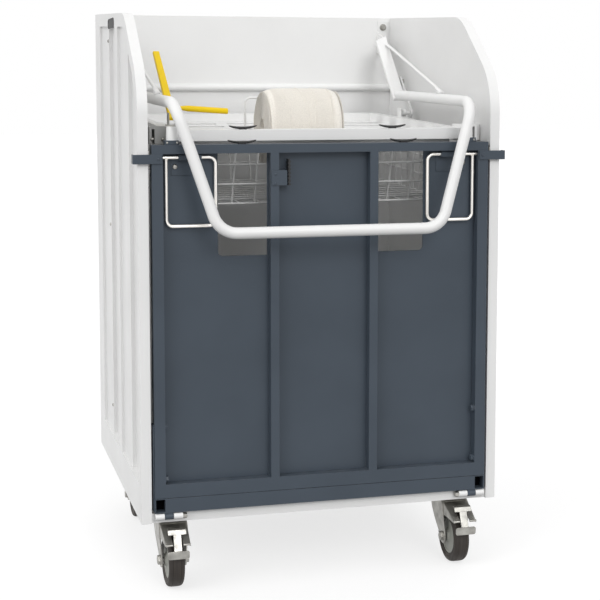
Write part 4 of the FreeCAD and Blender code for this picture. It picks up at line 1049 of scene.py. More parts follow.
class BALER_OT_bail(bpy.types.Operator):
    """Bend the bail's tube, its two braces and their weld beads"""
    bl_idname = "baler.bail"
    bl_label = "Bail"

    def execute(self, context):
        bail, seams = context.scene.baler_bail, context.scene.baler_seams
        side, grip = bail.half_width / MM, bail.grip_half / MM
        corners = [point(-side, *BAIL_END), point(-side, *BAIL_FRONT), point(-grip, *BAIL_GRIP),
                   point(grip, *BAIL_GRIP), point(side, *BAIL_FRONT), point(side, *BAIL_END)]
        path = rounded_path(corners, [bail.top_bend, bail.low_bend, bail.low_bend,
                                      bail.top_bend], math.radians(4))
        tube, arms, braces = bmesh.new(), bmesh.new(), bmesh.new()
        hollow_bar(tube, path, bail.tube / 2, bail.tube / 2 - bail.wall)
        end = corners[0].y
        for vert in tube.verts:
            if vert.co.y > end - MM:
                vert.co.y += vert.co.z - ARM_FACE[1] * MM
        for s in (-1, 1):
            self.arm(arms, s)
            self.brace(braces, mirrored(s, BRACE_TOP), mirrored(s, BRACE_FOOT), bail.brace / 2)
        smooth_piece("bail_tube_round", tube, "bail", "white_enamel", "bail_tube")
        folded_piece("bail_arms_folded", arms, ARM_EDGE, "bail", "white_enamel", "bail_arms")
        smooth_piece("bail_braces_round", braces, "bail", "white_enamel", "bail_braces")
        beads("bail_welds", self.weld_paths(bail), "bail", "white_enamel", seams)
        return {"FINISHED"}

    def arm(self, bm, s):
        """A leaning bar behind the tube's end, and the plate that holds its two bolts."""
        back = ARM_DEPTH / math.sqrt(2)
        rise = ARM_FACE[1] - ARM_FACE[0]
        ends = [[bm.verts.new(point(s * x, y + shift, y + rise - shift))
                 for y, shift in ((ARM_LOW_Y, 0), (top_y, 0), (top_y, back), (ARM_LOW_Y, back))]
                for x, top_y in ARM_TOPS]
        close_ends(bm, ends)
        skin(bm, ends)
        top_y = ARM_TOPS[1][1]
        outline = [ARM_WEB_START, (top_y, top_y + rise)]
        for (y, z), radius, first, last in ARM_WEB_ARCS:
            outline += [(y + radius * math.cos(turn), z + radius * math.sin(turn))
                        for turn in arc(first, last, 12)]
        outline.append(ARM_WEB_END)
        slab(bm, [point(s * ARM_WEB[0], *place) for place in outline],
             (s * (ARM_WEB[1] - ARM_WEB[0]) * MM, 0, 0))

    def brace(self, bm, top, foot, radius):
        """A rod with both ends pressed flat where it is welded."""
        flat, full = (radius * 0.45, radius * 1.6), (radius, radius)
        stations = ((0.0, flat), (0.04, flat), (0.065, full), (0.915, full), (0.945, flat),
                    (1.0, flat))
        sweep(bm, [top.lerp(foot, share) for share, _ in stations], radius, 16,
              [shape for _, shape in stations])

    def weld_paths(self, bail):
        """Rings round the tube's slanted ends, and beads beside the braces' feet."""
        paths = []
        radius = bail.tube / 2
        for s in (-1, 1):
            end = point(s * bail.half_width / MM, ARM_FACE[0], BAIL_END[1])
            lean = (BAIL_END[1] - ARM_FACE[1]) * MM
            paths.append([end + Vector((math.cos(turn) * radius, math.sin(turn) * radius + lean,
                                        math.sin(turn) * radius)) for turn in arc(0, 360, 24)])
            foot = mirrored(s, BRACE_FOOT) - Vector((0, 0, 3 * MM))
            for across in (-1, 1):
                start = foot + Vector((across * bail.brace * 0.8, 0, 0))
                paths.append([start, start + Vector((0, 22 * MM, 4.5 * MM))])
        return paths


# ---- twine spool and wires -------------------------------------------------------------------
GUARD_Y = 352
GUARD_X = (-106, 96)
GUARD_TOP = 62
CRADLE_X = 62
CRADLE_HOOK = 22
GUARD_BEND = 14 * MM
STEPS_A_TURN = 36
FACE_STEPS_A_TURN = 34
STRAYS = ((-0.55, -0.25, 20, 200), (-0.1, 0.2, 0, 175), (0.35, 0.1, -30, 150),
          (0.7, 0.55, 10, 190))


class BALER_OT_spool(bpy.types.Operator):
    """Wind the twine spool: a core, two crossing layers of turns and both ends"""
    bl_idname = "baler.spool"
    bl_label = "Twine spool"

    def execute(self, context):
        twine = context.scene.baler_twine
        middle = point(*Space("twine_spool").middle)
        half, outer, core = twine.length / 2, twine.diameter / 2, twine.core / 2
        strand = twine.strand
        bm = bmesh.new()
        r, e = outer - strand * 1.7, half - strand * 1.2
        turned(bm, [(-e, core), (-e, r - 10 * MM), (-e + 4 * MM, r - 4 * MM), (-e + 12 * MM, r),
                    (e - 12 * MM, r), (e - 4 * MM, r - 4 * MM), (e, r - 10 * MM), (e, core)],
               middle, (1, 0, 0), 64)
        smooth_piece("spool_body", bm, "ram", "twine", "twine_spool")
        turns = round((twine.length - 12 * MM) / twine.pitch)
        for name, depth, lean in (("twine_under", 1.25, -3.5 * MM),
                                  ("twine_over", 0.62, 4.2 * MM)):
            obj = grown(empty_point(name + "_seed"), "Winding", name, "twine", Turns=float(turns),
                        Length=twine.length - 24 * MM, Radius=outer - strand * depth,
                        Steps=turns * STEPS_A_TURN, Lean=lean, End_drop=6 * MM,
                        Wobble=1.2 * MM, Wire=strand, Sides=6)
            self.finish(obj, middle)
        for s, name in ((-1, "twine_end_left"), (1, "twine_end_right")):
            obj = grown(empty_point(name + "_seed"), "Coil face", name, "twine",
                        Inner=core + 2 * MM, Outer=outer - 8 * MM, Turns=27.0,
                        Steps=27 * FACE_STEPS_A_TURN, Wobble=4 * MM, Wire=strand, Sides=6)
            # Both end faces take the darker twine finish, which is painted shade.
            self.finish(obj, middle + Vector((s * (half - strand * 0.9), 0, 0)), "twine_ends")
        self.strays(middle, outer - strand * 0.1, half, strand)
        return {"FINISHED"}

    def finish(self, obj, place, finish="twine"):
        obj.data.transform(Matrix.Translation(place))
        settle(obj, "ram", "twine", finish=finish)

    def strays(self, middle, lift, half, strand):
        """Strands that cross the others, each from one share of the length to another."""
        paths = []
        for start, end, first, last in STRAYS:
            path = []
            for k, turn in enumerate(arc(first, last, 40)):
                path.append(middle + Vector((half * (start + (end - start) * k / 40),
                                             -math.sin(turn) * lift, math.cos(turn) * lift)))
            paths.append(path)
        settle(swept("twine_strays", paths, strand, 8), "ram", "twine")


BASKET_LOW = 876
BASKET_TOP = 1030
BASKET_LEAN = 52
BASKET_CORNER = 24
BASKET_Y = (67.6, 684.4)
BASKET_ROWS = 4
BASKET_STEP = 47
BASKET_COLUMNS = 12
BASKET_SIDE_GAPS = 11
SIDE_WIRE_SHORT = 12
BOTTOM_WIRES = (14, 11)


class BALER_OT_wires(bpy.types.Operator):
    """Weld the wire basket, and bend the spool's slings and guard"""
    bl_idname = "baler.wires"
    bl_label = "Wires"

    def execute(self, context):
        wire, twine = context.scene.baler_wire, context.scene.baler_twine
        self.basket(wire)
        middle = point(*Space("twine_spool").middle)
        thick = wire.sling
        paths = [self.sling(x, middle, twine.diameter / 2 + thick / 2 + 0.3 * MM, thick)
                 for x in (-CRADLE_X, CRADLE_X)]
        guard = [on_ram(x, GUARD_Y, z) for x, z in (
            (GUARD_X[0], FLOOR_TOP), (GUARD_X[0], SLAT_TOP + GUARD_TOP),
            (GUARD_X[1], SLAT_TOP + GUARD_TOP), (GUARD_X[1], FLOOR_TOP))]
        paths.append(rounded_path(guard, [GUARD_BEND, GUARD_BEND]))
        settle(swept("spool_wires", paths, thick, 16), "ram", "wire_white", "spool_cradle")
        return {"FINISHED"}

    def sling(self, x, middle, r, thick):
        """A wire that hangs from the floor at both ends and carries the spool."""
        ends = []
        for s in (-1, 1):
            y = (middle.y - FRONT_Y + s * r) / MM
            out = y + s * CRADLE_HOOK
            top = max(on_ram(x, y, FLOOR_TOP).z, on_ram(x, out, FLOOR_TOP).z) + thick / 2
            ends.append([Vector((x * MM, place * MM + FRONT_Y, top)) for place in (out, y)])
        low = middle.z - r
        under = [Vector((x * MM, middle.y + s * r, low)) for s in (-1, 1)]
        bend = min(end[1].z for end in ends) - low - thick * 1.3
        return rounded_path(ends[0] + under + ends[1][::-1],
                            [thick * 1.2, bend, bend, thick * 1.2])

    def basket(self, wire):
        """Four leaning panels and a bottom, each of upright and level wires."""
        half, lay = wire.basket_half, wire.diameter * 0.8
        front, rear = BASKET_Y[0] + BASKET_LEAN, BASKET_Y[1] - BASKET_LEAN
        rise = BASKET_TOP - BASKET_LOW
        tilt = math.atan2(BASKET_LEAN, rise)
        corner = BASKET_CORNER * MM
        upright = (2 * (half - corner), math.hypot(rise, BASKET_LEAN) * MM, BASKET_COLUMNS,
                   BASKET_ROWS, BASKET_STEP * MM / math.cos(tilt), 0.0, lay + corner)
        depth = (rear - front) * MM
        gap = depth / (BOTTOM_WIRES[1] + 1)
        bottom = (2 * half, depth, *BOTTOM_WIRES, gap, gap, lay)
        for name, sizes, side, y, turn in (
                ("basket_front", upright, -lay, front, tilt),
                ("basket_rear", upright, lay, rear, -tilt),
                ("basket_bottom", bottom, -lay, front, -math.pi / 2)):
            width, height, columns, rows, step, first, past = sizes
            obj = grown(empty_point(name + "_seed"), "Wire panel", name, "wire_white",
                        Width=width, Height=height, Columns=columns, Rows=rows, Row_step=step,
                        First_row=first, Lay=side, Overhang=past, Wire=wire.diameter,
                        Sides=wire.sides)
            obj.data.transform(Matrix.Translation(point(0, y, BASKET_LOW))
                               @ Matrix.Rotation(turn, 4, "X"))
            self.seat(obj)
        for s, name in ((-1, "basket_left"), (1, "basket_right")):
            paths = self.side_paths(s, half, lay, front, rear)
            self.seat(swept(name, paths, wire.diameter, 8))

    def side_paths(self, s, half, lay, front, rear):
        """The level, corner and upright wires of one end; front and rear are the bottom's."""
        paths = []
        x = s * half / MM
        past = lay / MM
        for k in range(BASKET_ROWS):
            z = BASKET_LOW + BASKET_STEP * k
            out = BASKET_LEAN * (z - BASKET_LOW) / (BASKET_TOP - BASKET_LOW) + past
            paths.append([point(x + s * past, front - out, z), point(x + s * past, rear + out, z)])
        for top, foot in zip(BASKET_Y, (front, rear)):
            paths.append([point(x, top, BASKET_TOP), point(x, foot, BASKET_LOW)])
        for k in range(1, BASKET_SIDE_GAPS):
            y = front + (rear - front) * k / BASKET_SIDE_GAPS
            paths.append([point(x, y, BASKET_LOW), point(x, y, BASKET_TOP - SIDE_WIRE_SHORT)])
        return paths

    def seat(self, obj):
        """Leans a piece of the basket with the ram."""
        corner = point(0, RAM_FRONT_Y, RAM_BOTTOM_Z)
        obj.data.transform(Matrix.Translation(corner) @ Matrix.Rotation(RAM_TILT, 4, "X")
                           @ Matrix.Translation(-corner))
        nodes = ["ram_basket"] if obj.name == "basket_front" else []
        settle(obj, "ram", "wire_white", *nodes)


# ---- lock handles, pull handle and lever -----------------------------------------------------
HANDLE_Y = 8
HANDLE_X = (250, 361.5)
HANDLE_Z = (839, 992)
HANDLE_BEND = 15 * MM
WELD_RISE = 4.4
# Along the pull handle: the distance from its pin, half the width, and a share of its radius.
PULL_STATIONS = ((-9.4, 2.0, 0.62), (-8, 5.0, 0.62), (-4, 8.2, 0.62), (2, 9.6, 0.62),
                 (7, 9.0, 0.64), (15, 8.0, 0.8), (26, 7.0, 1.0))
PULL_DROOP = math.radians(4)
LEVER_PIN = (-319.5, 190, 1078)
LEVER_ANGLE = math.radians(36)
LEVER_WIDTH = 15
LEVER_DEPTH = 12
LEVER_SHIFT = 8.5
LEVER_FOOT_END = -310.5
# The lever's outline: millimetres along it, and shares of half its depth across it.
LEVER_OUTLINE = ((-8, -1), (264, -1), (264, 0.2), (258, 1), (-4, 1), (-8, 0.4))
LEVER_FOOT_LENGTH = 20
LEVER_FOOT_OUT = (2, 5)
LEVER_EDGE = 1.8 * MM


class BALER_OT_handles(bpy.types.Operator):
    """Bend the two lock handles, and make the pull handle with its post"""
    bl_idname = "baler.handles"
    bl_label = "Handles"

    def execute(self, context):
        handles, seams = context.scene.baler_handles, context.scene.baler_seams
        inner, outer = HANDLE_X
        low, high = HANDLE_Z
        for s, side in ((-1, "left"), (1, "right")):
            node = "lock_handle_" + side
            tip = max(abs(x) for x in Space(node).x)
            corners = [point(s * x, HANDLE_Y, z) for x, z in (
                (tip, high), (inner, high), (inner, low), (outer, low), (outer, high - 3))]
            path = rounded_path(corners, [HANDLE_BEND] * 3, math.radians(5))
            settle(swept(node + "_rod", [path], handles.rod, 24), node, "polished_steel", node)
            ring = [point(s * outer, HANDLE_Y, high - WELD_RISE)
                    + Vector((s * math.cos(turn), math.sin(turn), 0)) * handles.rod * 0.52
                    for turn in arc(70, 290, 18)]
            beads(node + "_weld", [ring], node, "polished_steel", seams, 1.6 * MM)
        self.pull(handles.pull / 2)
        self.mounts()
        self.lever()
        return {"FINISHED"}

    def pull(self, r):
        """A tube pressed flat into an eye at the post."""
        bm = bmesh.new()
        x, y, z = PULL
        reach = Space("pull_handle").x[1] - x
        drop = math.tan(PULL_DROOP)
        path = [point(x + dx, y, z - max(dx, 0) * drop) for dx, _, _ in PULL_STATIONS]
        shapes = [(wide * MM, r * share) for _, wide, share in PULL_STATIONS]
        path += [point(x + reach - short, y, z - reach * drop) for short in (1, 0)]
        shapes += [(r, r), (r * 0.93, r * 0.93)]
        sweep(bm, path, r, 28, shapes)
        smooth_piece("pull_handle_tube", bm, "pull_handle", "yellow_enamel", "pull_handle")

    def mounts(self):
        """The lever's ears and pin and the handle's post, moved to where they are seen."""
        obj = dressed("lever_mounts", 0.5 * MM)
        for vert in obj.data.vertices:
            if vert.co.x < LEVER_FOOT_END * MM:
                vert.co.x += LEVER_SHIFT * MM
        settle(obj, "ram", "zinc", "lever_mounts")

    def lever(self):
        """A closed bar that widens at its foot."""
        x, y, z = LEVER_PIN
        along = Vector((0, math.cos(LEVER_ANGLE), math.sin(LEVER_ANGLE)))
        across = Vector((0, -along.z, along.y)) * (LEVER_DEPTH / 2 * MM)
        start = point(x - LEVER_WIDTH / 2, y, z)
        bm = bmesh.new()
        slab(bm, [start + along * (a * MM) + across * b for a, b in LEVER_OUTLINE],
             (LEVER_WIDTH * MM, 0, 0))
        for vert in bm.verts:
            if (vert.co - start).dot(along) < LEVER_FOOT_LENGTH * MM:
                vert.co.x += LEVER_FOOT_OUT[vert.co.x > x * MM] * MM
        folded_piece("yellow_lever_bar", bm, LEVER_EDGE, "yellow_lever", "yellow_enamel",
                     "yellow_lever")


# ---- casters ---------------------------------------------------------------------------------
CASTERS = ("front_left", "front_right", "rear_left", "rear_right")
BRAKED = ("front_left", "front_right")
PLATE_HALF = 52.5
PLATE_SHEET = 3.6
# The tyre's and the hub's outlines as shares of half the width and of the rubber's height.
TYRE_OUTLINE = ((0.80, 0), (0.90, 0.06), (0.93, 0.26), (0.89, 0.31), (0.90, 0.37), (0.97, 0.42),
                (1, 0.55), (0.985, 0.70), (0.91, 0.84), (0.76, 0.94), (0.55, 0.985),
                (0.52, 0.955), (0.48, 0.955), (0.45, 0.992), (0.15, 1))
HUB_BORE = 6.1 * MM
# The fork's legs: height, front edge, rear edge and distance from the middle.
FORK_LEG = ((45.2, -43, -37, 27.4), (48, -51, -29, 27.4), (54, -55.5, -24.5, 27.5),
            (62, -57.4, -20, 27.7), (72, -57, -12, 28.2), (84, -55, 0, 29),
            (97, -53.5, 11, 30), (110, -52.5, 19, 31), (122, -51.5, 25, 31.8),
            (133, -50.5, 28.5, 32.2))
FORK_CORNER = (22.7, 9.5)
FORK_SHEET = 3.2 * MM
FORK_COLUMNS = 12
# The crown's front and rear edge, its flat middle, its fall beyond that and its open middle.
CROWN_Y = (-50, 30)
CROWN_FLAT = 20
CROWN_FALL = 0.0118
CROWN_INNER = 8
# An ear runs from (Y, Z) so far forward and down, and narrows as its side and slot change.
EAR_ROWS = 10
EAR_START = (-44, 151)
EAR_REACH = (70, 31)
EAR_FALL = 1.15
EAR_OUT, EAR_NARROWS = 30.5, 3
EAR_DEEP, EAR_DEEP_END = 27, 5
SLOT_FROM, SLOT_WIDENS, SLOT_CLOSED, SLOT_HALF = 0.3, 80, 0.05, 12
EAR_PIN = (11.8, -114, 118.4)
EAR_PIN_OUTLINE = ((0, 2.2), (0.6, 2.8), (15.4, 2.8), (16.6, 2.2))
PEDAL_PIVOT = (-38, 132)
PEDAL_STEM = ((-32, 134), (-32, 141), (-90, 147.5), (-98, 145.5), (-121, 92), (-118, 91),
              (-96, 142), (-90, 144.3), (-36, 138), (-36, 134))
PEDAL_BAR = ((-88, 150.3), (-97, 148.2), (-102, 138), (-99, 137.2), (-95, 145.5), (-88, 147.3))
STEM_HALF, BAR_HALF = 9, 21
BARREL_RADIUS, BARREL_HALF = 6, 12
# The pad's foot as (Y, Z), and half its width, its height and its sheet.
PAD_FOOT = (-117.5, 87)
PAD_SIZE = (25, 19, 3)
PAD_LEAN = 0.09
PAD_CORNER = 5 * MM
SEAL = ((0.2, 22), (1.2, 23), (2.4, 23), (3.1, 22))
AXLE_PAST = 3
AXLE_HEAD = 8
# A washer, a nut and the bolt's end, each with its number of sides.
BOLT_PARTS = ((((0, 12.2), (1.6, 12.2), (2, 11.8)), 32),
              (((2, 10.9), (6.6, 10.9), (7.6, 9.6)), 6),
              (((7.4, 5.6), (8, 5.2)), 20))


def swivel(place):
    """Where a caster's swivel stands, in millimetres."""
    fork, plates = Space("caster_fork_" + place), Space("caster_plates")
    y = plates.y[0] + PLATE_HALF if place in BRAKED else plates.y[1] - PLATE_HALF
    return fork.middle[0], y


def both_ways(half_profile):
    """An outline of (along, radius) continued on the other side of the middle."""
    return half_profile + [(-along, radius) for along, radius in half_profile[::-1]]


class BALER_OT_casters(bpy.types.Operator):
    """Turn the four wheels, and dress their forks, axles, plates and pedals"""
    bl_idname = "baler.casters"
    bl_label = "Casters"

    def execute(self, context):
        caster = context.scene.baler_casters
        rim = caster.rim / 2
        for place in CASTERS:
            tyre, hub = Space("caster_tyre_" + place), Space("caster_hub_" + place)
            middle = point(*tyre.middle)
            self.tyre(place, middle, caster.wheel / 2, (tyre.x[1] - tyre.x[0]) / 2 * MM, rim)
            self.hub(place, middle, rim, (hub.x[1] - hub.x[0]) / 2 * MM)
            x, y = swivel(place)
            self.fork(place, x, y)
            self.axle(place, middle)
            if place in BRAKED:
                self.pedal(place, x, y)
        self.plates()
        return {"FINISHED"}

    def tyre(self, place, middle, outer, half, rim):
        """A round-shouldered tyre with a groove in each side wall."""
        bm = bmesh.new()
        turned(bm, both_ways([(half * wide, rim + (outer - rim) * high)
                              for wide, high in TYRE_OUTLINE]), middle, (1, 0, 0), 72)
        node = "caster_tyre_" + place
        smooth_piece(node + "_turned", bm, "wheel_" + place, "tread", node, angle=32)

    def hub(self, place, middle, rim, reach):
        """A moulded hub: a smooth dished face between the rim and a long boss."""
        bm = bmesh.new()
        bore = HUB_BORE
        turned(bm, both_ways([
            (reach, bore), (reach, bore * 2.1), (reach - 1.5 * MM, bore * 2.35),
            (18 * MM, bore * 2.6), (16 * MM, bore * 3.2), (15 * MM, bore * 4.2),
            (14.2 * MM, rim - 10 * MM), (13.4 * MM, rim - 7 * MM), (13.4 * MM, rim - 5 * MM),
            (15 * MM, rim - 3.4 * MM), (15 * MM, rim - 0.05 * MM)]), middle, (1, 0, 0), 56)
        node = "caster_hub_" + place
        smooth_piece(node + "_moulded", bm, "wheel_" + place, "hub_grey", node, angle=32)

    def fork(self, place, x, y):
        """The pressed fork, the ears of a braked one, and the seal of its ball race."""
        node, body = "caster_fork_" + place, "swivel_" + place
        top = Space(node).z[1]
        settle(self.hood(place, x, y, top), body, "zinc", node)
        if place in BRAKED:
            bm = bmesh.new()
            for s in (-1, 1):
                self.ear(bm, s, x, y)
            pin(bm, [(-31, 4), (31, 4)], point(x, y + PEDAL_PIVOT[0], PEDAL_PIVOT[1]), (1, 0, 0))
            smooth_piece("caster_ears_" + place, bm, body, "zinc")
        bm = bmesh.new()
        pin(bm, SEAL, point(x, y, top), (0, 0, 1), 40)
        smooth_piece("caster_seal_" + place, bm, body, "black_plastic", angle=32, finish="seal")

    def axle(self, place, middle):
        """The axle with a washer, a nut and the bolt's end on each side."""
        bm = bmesh.new()
        axle = Space("caster_axle_" + place)
        reach = (axle.x[1] - axle.x[0]) / 2 - AXLE_HEAD + AXLE_PAST
        pin(bm, [(-reach, 6), (reach, 6)], middle, (1, 0, 0))
        for s in (-1, 1):
            for profile, sides in BOLT_PARTS:
                pin(bm, profile, middle + Vector((s * reach * MM, 0, 0)), (s, 0, 0), sides)
        smooth_piece("caster_bolt_" + place, bm, "swivel_" + place, "zinc",
                     "caster_axle_" + place, angle=32)

    def hood(self, place, x, y, top):
        """A domed crown that runs over into two flared legs, as one sheet."""
        bm = bmesh.new()
        shares = [k / FORK_COLUMNS for k in range(FORK_COLUMNS + 1)]
        reach, bend = FORK_CORNER
        rows = []
        for s in (-1, 1):
            half = [[point(x + s * out, y + front + (rear - front) * share, z)
                     for share in shares] for z, front, rear, out in FORK_LEG]
            edges = [(reach + bend * math.cos(turn), bend * (1 - math.sin(turn)))
                     for turn in arc(0, 90, 5)]
            for out, drop in edges + [(CROWN_INNER, 0)]:
                half.append([self.on_crown(x + s * out, y, share, top, drop)
                             for share in shares])
            rows += half if s < 0 else half[::-1]
        skin(bm, [[bm.verts.new(spot) for spot in row] for row in rows], closed=False)
        bmesh.ops.recalc_face_normals(bm, faces=bm.faces)
        return self.pressed(mesh_object("caster_hood_" + place, bm), FORK_SHEET)

    def on_crown(self, x, y, share, top, drop):
        """A place on the crown, which falls away in front and behind, or so far under it."""
        out = CROWN_Y[0] + (CROWN_Y[1] - CROWN_Y[0]) * share
        fall = max(0, abs(out) - CROWN_FLAT) ** 2 * CROWN_FALL
        return point(x, y + out, top - fall - drop)

    def pedal(self, place, x, y):
        """A bent stem with a bar over its bend and a rounded pad at its toe."""
        bm = bmesh.new()
        barrel = [(PEDAL_PIVOT[0] + BARREL_RADIUS * math.cos(turn),
                   PEDAL_PIVOT[1] + BARREL_RADIUS * math.sin(turn)) for turn in circle(12)]
        for outline, half in ((PEDAL_STEM, STEM_HALF), (PEDAL_BAR, BAR_HALF),
                              (barrel, BARREL_HALF)):
            slab(bm, [point(x - half, y + a, z) for a, z in outline], (2 * half * MM, 0, 0))
        up = Vector((0, -PAD_LEAN, 1)).normalized()
        half, tall, sheet = [size * MM for size in PAD_SIZE]
        toe = point(x, y + PAD_FOOT[0], PAD_FOOT[1])
        corners = [toe + Vector((a * half, 0, 0)) + up * (b * tall)
                   for a, b in ((0, 0), (-1, 0), (-1, 1), (1, 1), (1, 0), (0, 0))]
        pad = rounded_path(corners, [PAD_CORNER] * 4, math.radians(15))
        slab(bm, pad[:-1], Vector((0, -up.z, up.y)) * sheet)
        node = "brake_pedal_" + place
        folded_piece(node + "_bent", bm, 0.7 * MM, "pedal_" + place, "zinc", node)


    def pressed(self, obj, thickness):
        """Gives a sheet its thickness and rounds the edges it is cut with."""
        shell = obj.modifiers.new("Thickness", "SOLIDIFY")
        shell.thickness = thickness
        shell.offset = 0
        edge = obj.modifiers.new("Cut edges", "BEVEL")
        edge.width = 0.7 * MM
        edge.segments = 2
        edge.limit_method = "ANGLE"
        edge.angle_limit = math.radians(50)
        return smooth(baked(obj, obj.name), 45)

    def ear(self, bm, s, x, y):
        """One half of the fork's front: a sloping strip with its side turned down."""
        rows = []
        for k in range(EAR_ROWS + 1):
            share = k / EAR_ROWS
            place_y = y + EAR_START[0] - EAR_REACH[0] * share
            z = EAR_START[1] - EAR_REACH[1] * share ** EAR_FALL
            out = EAR_OUT - EAR_NARROWS * share
            deep = EAR_DEEP * (1 - share) + EAR_DEEP_END
            slot = min(SLOT_HALF, max(SLOT_CLOSED, SLOT_WIDENS * (share - SLOT_FROM)))
            ring = [(out + 1.5, z - deep), (out + 1.5, z - 6), (out + 0.4, z - 2),
                    (out - 2.5, z), (slot, z), (slot, z - 2.6), (out - 3.5, z - 2.6),
                    (out - 1.6, z - 4), (out - 1.3, z - 7), (out - 1.3, z - deep)]
            rows.append([bm.verts.new(point(x + s * a, place_y, b)) for a, b in ring])
        bmesh.ops.recalc_face_normals(bm, faces=close_ends(bm, rows) + skin(bm, rows))
        out, front, z = EAR_PIN
        pin(bm, EAR_PIN_OUTLINE, point(x + s * out, y + front, z), (s, 0, 0), 20)

    def plates(self):
        """The top plates with their rounded corners and the bolts that hold them."""
        settle(dressed("caster_plates", 0.6 * MM), "housing", "zinc", "caster_plates")
        head = hex_screw("plate_bolt", 13 * MM, 5.5 * MM, 17 * MM)
        under = Space("caster_plates").z[0] + PLATE_SHEET
        spots = []
        for x, y in map(swivel, CASTERS):
            spots += [(point(x + dx, y + dy, under), Vector((0, 0, -1)))
                      for dx in (-36, 36) for dy in (-42, 42)]
        heads("plate_bolts", head, spots, "housing", "zinc", 3)
        bpy.data.objects.remove(head)


# ---- screws, bolts and rivets ----------------------------------------------------------------
# Where heads stand: WALL_SCREW is (depth under the wall's face, Y), GUIDE_SCREW (X, Z),
# POST_BOLT (X, Y) and BLOCK_SCREW (Y, Z). BRACKET_SCREW is its X and the ways in from the
# bracket's rear and top.
WALL_SCREW = (6, 533)
WALL_SCREW_Z = (324, 796, 1262)
REAR_SCREW_X = (-395, 0, 395)
REAR_SCREW_Z = (197, 475, 753, 1030, 1309)
GUIDE_SCREW = (340, 971)
GUIDE_RIVET = (380, -9, 989)
POST_BOLT = (370, 4)
POST_BOLT_Z = (268, 388)
CUTTER_RIVET_X = -116
CUTTER_RIVET_Z = (931, 952)
PIVOT_HEAD_X = 367.4
BRACKET_SCREW = (380.3, 3, 18)
BLOCK_SCREW_X = (-360, -384)
BLOCK_SCREW = (53.6, 1030)
# The white pins at the links: where each starts, its length and its radius.
LINK_PINS = ((360.6, 8.9 + LINK_OUT, 5), (364, LINK_OUT - 0.2, 8))
LINK_HEAD_X = 369.4 + LINK_OUT
STUB_START = 354
STUB_LENGTH = LINK_OUT + 10
BACK = Vector((0, 1, 0))


class BALER_OT_fasteners(bpy.types.Operator):
    """Place the screws, bolts and rivets that hold the baler together"""
    bl_idname = "baler.fasteners"
    bl_label = "Fasteners"

    def execute(self, context):
        button = dome_screw("button", 9 * MM, 3.2 * MM)
        large = dome_screw("large_button", 12 * MM, 4 * MM)
        rivet = dome_screw("rivet", 6.5 * MM, 1.9 * MM, 0.3 * MM)
        hexagon = hex_screw("hexagon", 13 * MM, 6 * MM, 19 * MM)
        pivot = hex_screw("pivot", 18 * MM, 7 * MM, 24 * MM)
        self.walls(button)
        self.door(large, rivet, hexagon)
        self.bail(pivot, hexagon)
        self.ram(button)
        for head in (button, large, rivet, hexagon, pivot):
            bpy.data.objects.remove(head)
        return {"FINISHED"}

    def walls(self, button):
        """Screws on both outer faces, and the rows on the rear wall's frame."""
        wall, rear = Space("side_wall_right"), Space("rear_wall")
        spots = [(point(s * (wall.x[1] - WALL_SCREW[0]), WALL_SCREW[1], z), Vector((s, 0, 0)))
                 for s in (-1, 1) for z in WALL_SCREW_Z]
        spots += [(point(x, rear.y[1], z), BACK) for x in REAR_SCREW_X for z in REAR_SCREW_Z]
        heads("wall_screws", button, spots, "housing", "zinc", 5)

    def door(self, large, rivet, hexagon):
        """Screws and rivets on the handle guides, rivets on the cutter, bolts in the posts."""
        face, plate = Space("door_panel").y[0] - 2, Space("cutter_bracket").y[0] + 0.2
        x, z = GUIDE_SCREW
        knobs, rivets, bolts = [], [], []
        for s in (-1, 1):
            knobs.append((point(s * x, face, z), -BACK))
            rivets.append((mirrored(s, GUIDE_RIVET), -BACK))
            bolts += [(point(s * POST_BOLT[0], POST_BOLT[1], height), Vector((-s, 0, 0)))
                      for height in POST_BOLT_Z]
        rivets += [(point(CUTTER_RIVET_X, plate, height), -BACK) for height in CUTTER_RIVET_Z]
        heads("guide_screws", large, knobs, "door", "zinc", 7)
        heads("door_rivets", rivet, rivets, "door", "dark_enamel", 9)
        heads("post_bolts", hexagon, bolts, "door", "dark_enamel", 11, "door_bolts")

    def bail(self, pivot, hexagon):
        """Pivot bolts and screws in the brackets, the link bolts, and the ram's stubs."""
        brackets = Space("pivot_brackets")
        x, in_front, below = BRACKET_SCREW
        screw = (x, brackets.y[1] - in_front, brackets.z[1] - below)
        shafts, links, stubs = bmesh.new(), bmesh.new(), bmesh.new()
        for s in (-1, 1):
            out = (s, 0, 0)
            pin(shafts, [(0, 6), (7.9, 6)], point(s * 360, *PIVOT), out)
            for start, length, radius in LINK_PINS:
                pin(links, [(0, radius), (length, radius)], point(s * start, *LINK_PIN), out)
            pin(stubs, [(0, 5), (STUB_LENGTH, 5)], point(s * STUB_START, *LINK_STUB), out)
        smooth_piece("pivot_shafts", shafts, "housing", "zinc")
        heads("pivot_heads", pivot, self.pair(PIVOT_HEAD_X, PIVOT), "housing", "zinc", 13,
              "pivot_bolts")
        heads("bracket_screws", hexagon, [(mirrored(s, screw), -BACK) for s in (-1, 1)],
              "housing", "zinc", 15)
        smooth_piece("link_shafts", links, "bail", "zinc", angle=30, finish="white_enamel")
        smooth_piece("link_stubs", stubs, "ram", "zinc", angle=30, finish="white_enamel")
        heads("link_heads", hexagon, self.pair(LINK_HEAD_X, LINK_PIN), "bail", "zinc", 17,
              "link_bolts")

    def pair(self, x, spot):
        """A place for a head on each side, facing outwards."""
        return [(point(s * x, *spot), Vector((s, 0, 0))) for s in (-1, 1)]

    def ram(self, button):
        """Small screws on the grey guide block."""
        spots = [(on_ram(x, *BLOCK_SCREW), -BACK) for x in BLOCK_SCREW_X]
        heads("guide_block_screws", button, spots, "ram", "zinc", 19)


# ---- small parts of the door, the walls and the ram ------------------------------------------
CLEAT_LENGTH = 66
CLEAT_FOOT = (8, 5, 4)
